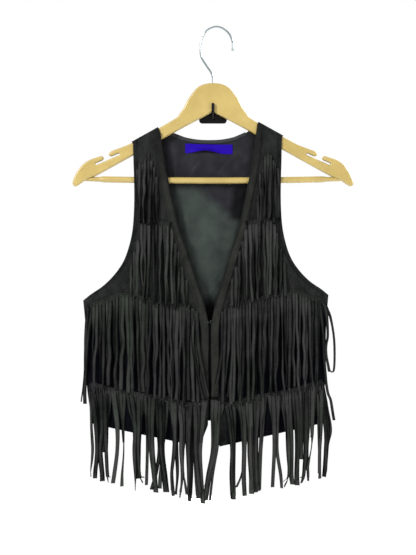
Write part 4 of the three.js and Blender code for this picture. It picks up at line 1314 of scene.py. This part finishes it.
# the fronts' suede, painted darker through its tone under the fringe and near the armhole edge
front_suede = make_suede("front suede with painted shade", rgb(7, 8, 8), rgb(31, 32, 31), False)
dress(panel_suede, "back_suede")
dress(front_suede, "front_right_suede", "front_left_suede")
dress(band_suede, "neck_band_right", "neck_band_left")
dress(fringe_suede, *[f"strips_{word}_{row}" for word in ("right", "left") for row in (1, 2, 3, 4)])
print("suede finishes made")

# %% [markdown]
# The lining is a grey-green satin. Satin floats its threads on the face, so it shines along one
# direction; a fine twill line and slight streaks in colour break the shine up.

# %% Satin, tape, plastic and metal
satin = Finish("lining satin", Sheen_Weight=0.01, Sheen_Roughness=0.3, Specular_IOR_Level=0.05,
    Anisotropic=0.4)
cloth = satin.coords("UV")
threads = satin.node("TexWave", {"bands_direction": "DIAGONAL"},
    {"Vector": cloth, "Scale": 900, "Distortion": 1.5})
cloudy = satin.noise(satin.coords(), 45, 3, 0.55)
# painted shade in the satin's colour: the upper part darker than the lower, near black at the foot of the V,
# and darker where the tone holds painted shade
height = satin.node("SeparateXYZ", None, {"Vector": satin.coords()}, "Z")
sideways = satin.ramp(satin.node("SeparateXYZ", None, {"Vector": satin.coords()}, "X"), -0.03, 0.025)
lower = satin.ramp(height * -1 - 0.05 * sideways, 0.106, 0.13)
painted_satin_shade = satin.node("Attribute", {"attribute_name": "tone"}, None, "Fac")
cloud = satin.ramp(cloudy, 0.3, 0.7)
shaded_upper_satin = satin.mix(cloud, rgb(20, 20, 23), rgb(30, 30, 34))
lit_lower_satin = satin.mix(cloud, rgb(33, 38, 36), rgb(44, 50, 47))
# painted shade: near black at the foot of the V, between the fronts
deep = satin.ramp(height * -1, 0.288, 0.308)
lit_satin = satin.mix(deep, satin.mix(lower, shaded_upper_satin, lit_lower_satin), rgb(1, 1, 1))
satin.colour(satin.mix(painted_satin_shade, rgb(1, 1, 2), lit_satin))
satin.roughness(0.42 + 0.12 * threads)
satin.bump(threads, 0.00008, 0.35)
binding_satin = Finish("binding", Sheen_Weight=0.05, Roughness=0.6, Specular_IOR_Level=0.2)
ribs = binding_satin.node("TexWave", None, {"Vector": binding_satin.coords(), "Scale": 700, "Distortion": 1})
binding_satin.colour(binding_satin.mix(ribs, rgb(14, 15, 17), rgb(34, 37, 40)))
tape = Finish("woven tape", Specular_IOR_Level=0.03)
weft = tape.node("TexWave", {"bands_direction": "Y"},
    {"Vector": tape.coords("UV"), "Scale": 800, "Distortion": 0.6})
warp = tape.node("TexWave", {"bands_direction": "X"},
    {"Vector": tape.coords("UV"), "Scale": 620, "Distortion": 0.6})
tape.colour(tape.mix(weft * warp, rgb(18, 2, 94), rgb(36, 6, 160)))
tape.roughness(0.5 + 0.15 * weft)
tape.bump(weft + warp, 0.0001, 0.4)
moulded = Finish("moulded plastic", Specular_IOR_Level=0.5, Coat_Weight=0.15, Coat_Roughness=0.25)
haze = moulded.noise(moulded.coords(), 24, 4, 0.6)
moulded.colour(moulded.mix(moulded.ramp(haze, 0.35, 0.65), rgb(136, 117, 60), rgb(147, 128, 71)))
moulded.roughness(0.3 + 0.14 * moulded.noise(moulded.coords(), 160, 3))
moulded.bump(moulded.noise(moulded.coords(), 900, 2), 0.00005, 0.3)
plated = Finish("plated wire", Metallic=1)
drawn = plated.noise(plated.coords(), 300, 3, 0.7)
plated.colour(plated.mix(drawn, rgb(112, 124, 127), rgb(158, 168, 170)))
plated.roughness(0.16 + 0.18 * drawn)
gloss = Finish("black gloss", Coat_Weight=0.06, Coat_Roughness=0.05, Specular_IOR_Level=0.08)
dust = gloss.noise(gloss.coords(), 600, 4, 0.7)
gloss.colour(gloss.mix(dust, rgb(3, 3, 3), rgb(9, 9, 9)))
gloss.roughness(0.14 + 0.12 * dust)
thread = Finish("sewing thread", Specular_IOR_Level=0.1)
twist = thread.node("TexWave", {"bands_direction": "DIAGONAL"}, {"Vector": thread.coords(), "Scale": 900})
thread.colour(thread.mix(twist, rgb(2, 2, 2), rgb(14, 13, 12)))
thread.roughness(0.6 + 0.2 * twist)
dress(thread, "stitches_right", "stitches_left")
dress(satin, "satin_lining")
dress(binding_satin, "neck_binding")
dress(tape, "woven_label")
dress(moulded, "hanger", "round_bar")
dress(plated, "hook_wire")
blackened = Finish("blackened wire", Metallic=1)
worn = blackened.noise(blackened.coords(), 800, 3, 0.7)
blackened.colour(blackened.mix(worn, rgb(12, 13, 14), rgb(70, 72, 74)))
blackened.roughness(0.3 + 0.2 * worn)
dress(blackened, "neck_eye", "neck_hook")
dress(gloss, "black_hook")
print("finishes:", len(bpy.data.materials))

# %% [markdown]
# The stage is a pale floor well below the fringe, soft light all round, a broad key light from the
# front, upper left, a weaker one from the right, so folds and strips get a lit and a dark side, and
# one from behind that shows the back in the views from there.

# %% Stage and light
FLOOR_Z = -800


def make_floor():
    shape = bmesh.new()
    size = 2200
    put_down = Matrix.Translation(Vector((0, 0, FLOOR_Z)) * MM)
    bmesh.ops.create_grid(shape, x_segments=1, y_segments=1, size=size / 2 * MM, matrix=put_down)
    data = bpy.data.meshes.new("floor")
    shape.to_mesh(data)
    shape.free()
    floor = bpy.data.objects.new("floor", data)
    bpy.context.scene.collection.objects.link(floor)
    paper = Finish("pale floor", Roughness=0.9)
    paper.colour((0.86, 0.86, 0.86, 1))
    data.materials.append(paper.material)


def make_light(name, spot, aim, size, power):
    data = bpy.data.lights.new(name, "AREA")
    data.size, data.energy = size, power
    lamp = bpy.data.objects.new(name, data)
    lamp.location = Vector(spot)
    lamp.rotation_euler = (Vector(aim) - Vector(spot)).to_track_quat("-Z", "Y").to_euler()
    bpy.context.scene.collection.objects.link(lamp)


make_floor()
make_light("key", (-1.5, -1.6, 1.0), (0, 0, -0.25), 0.5, 90)
make_light("fill", (1.6, -1.6, 0.1), (0, 0, -0.3), 1.2, 22)
make_light("behind", (1.7, 0.75, 0.7), (0, 0, -0.3), 0.5, 110)
world = bpy.data.worlds.new("soft room")
world.use_nodes = True
world.node_tree.nodes["Background"].inputs["Color"].default_value = (1, 1, 1, 1)
world.node_tree.nodes["Background"].inputs["Strength"].default_value = 1.0
bpy.context.scene.world = world
bpy.context.scene.view_settings.view_transform = "Standard"
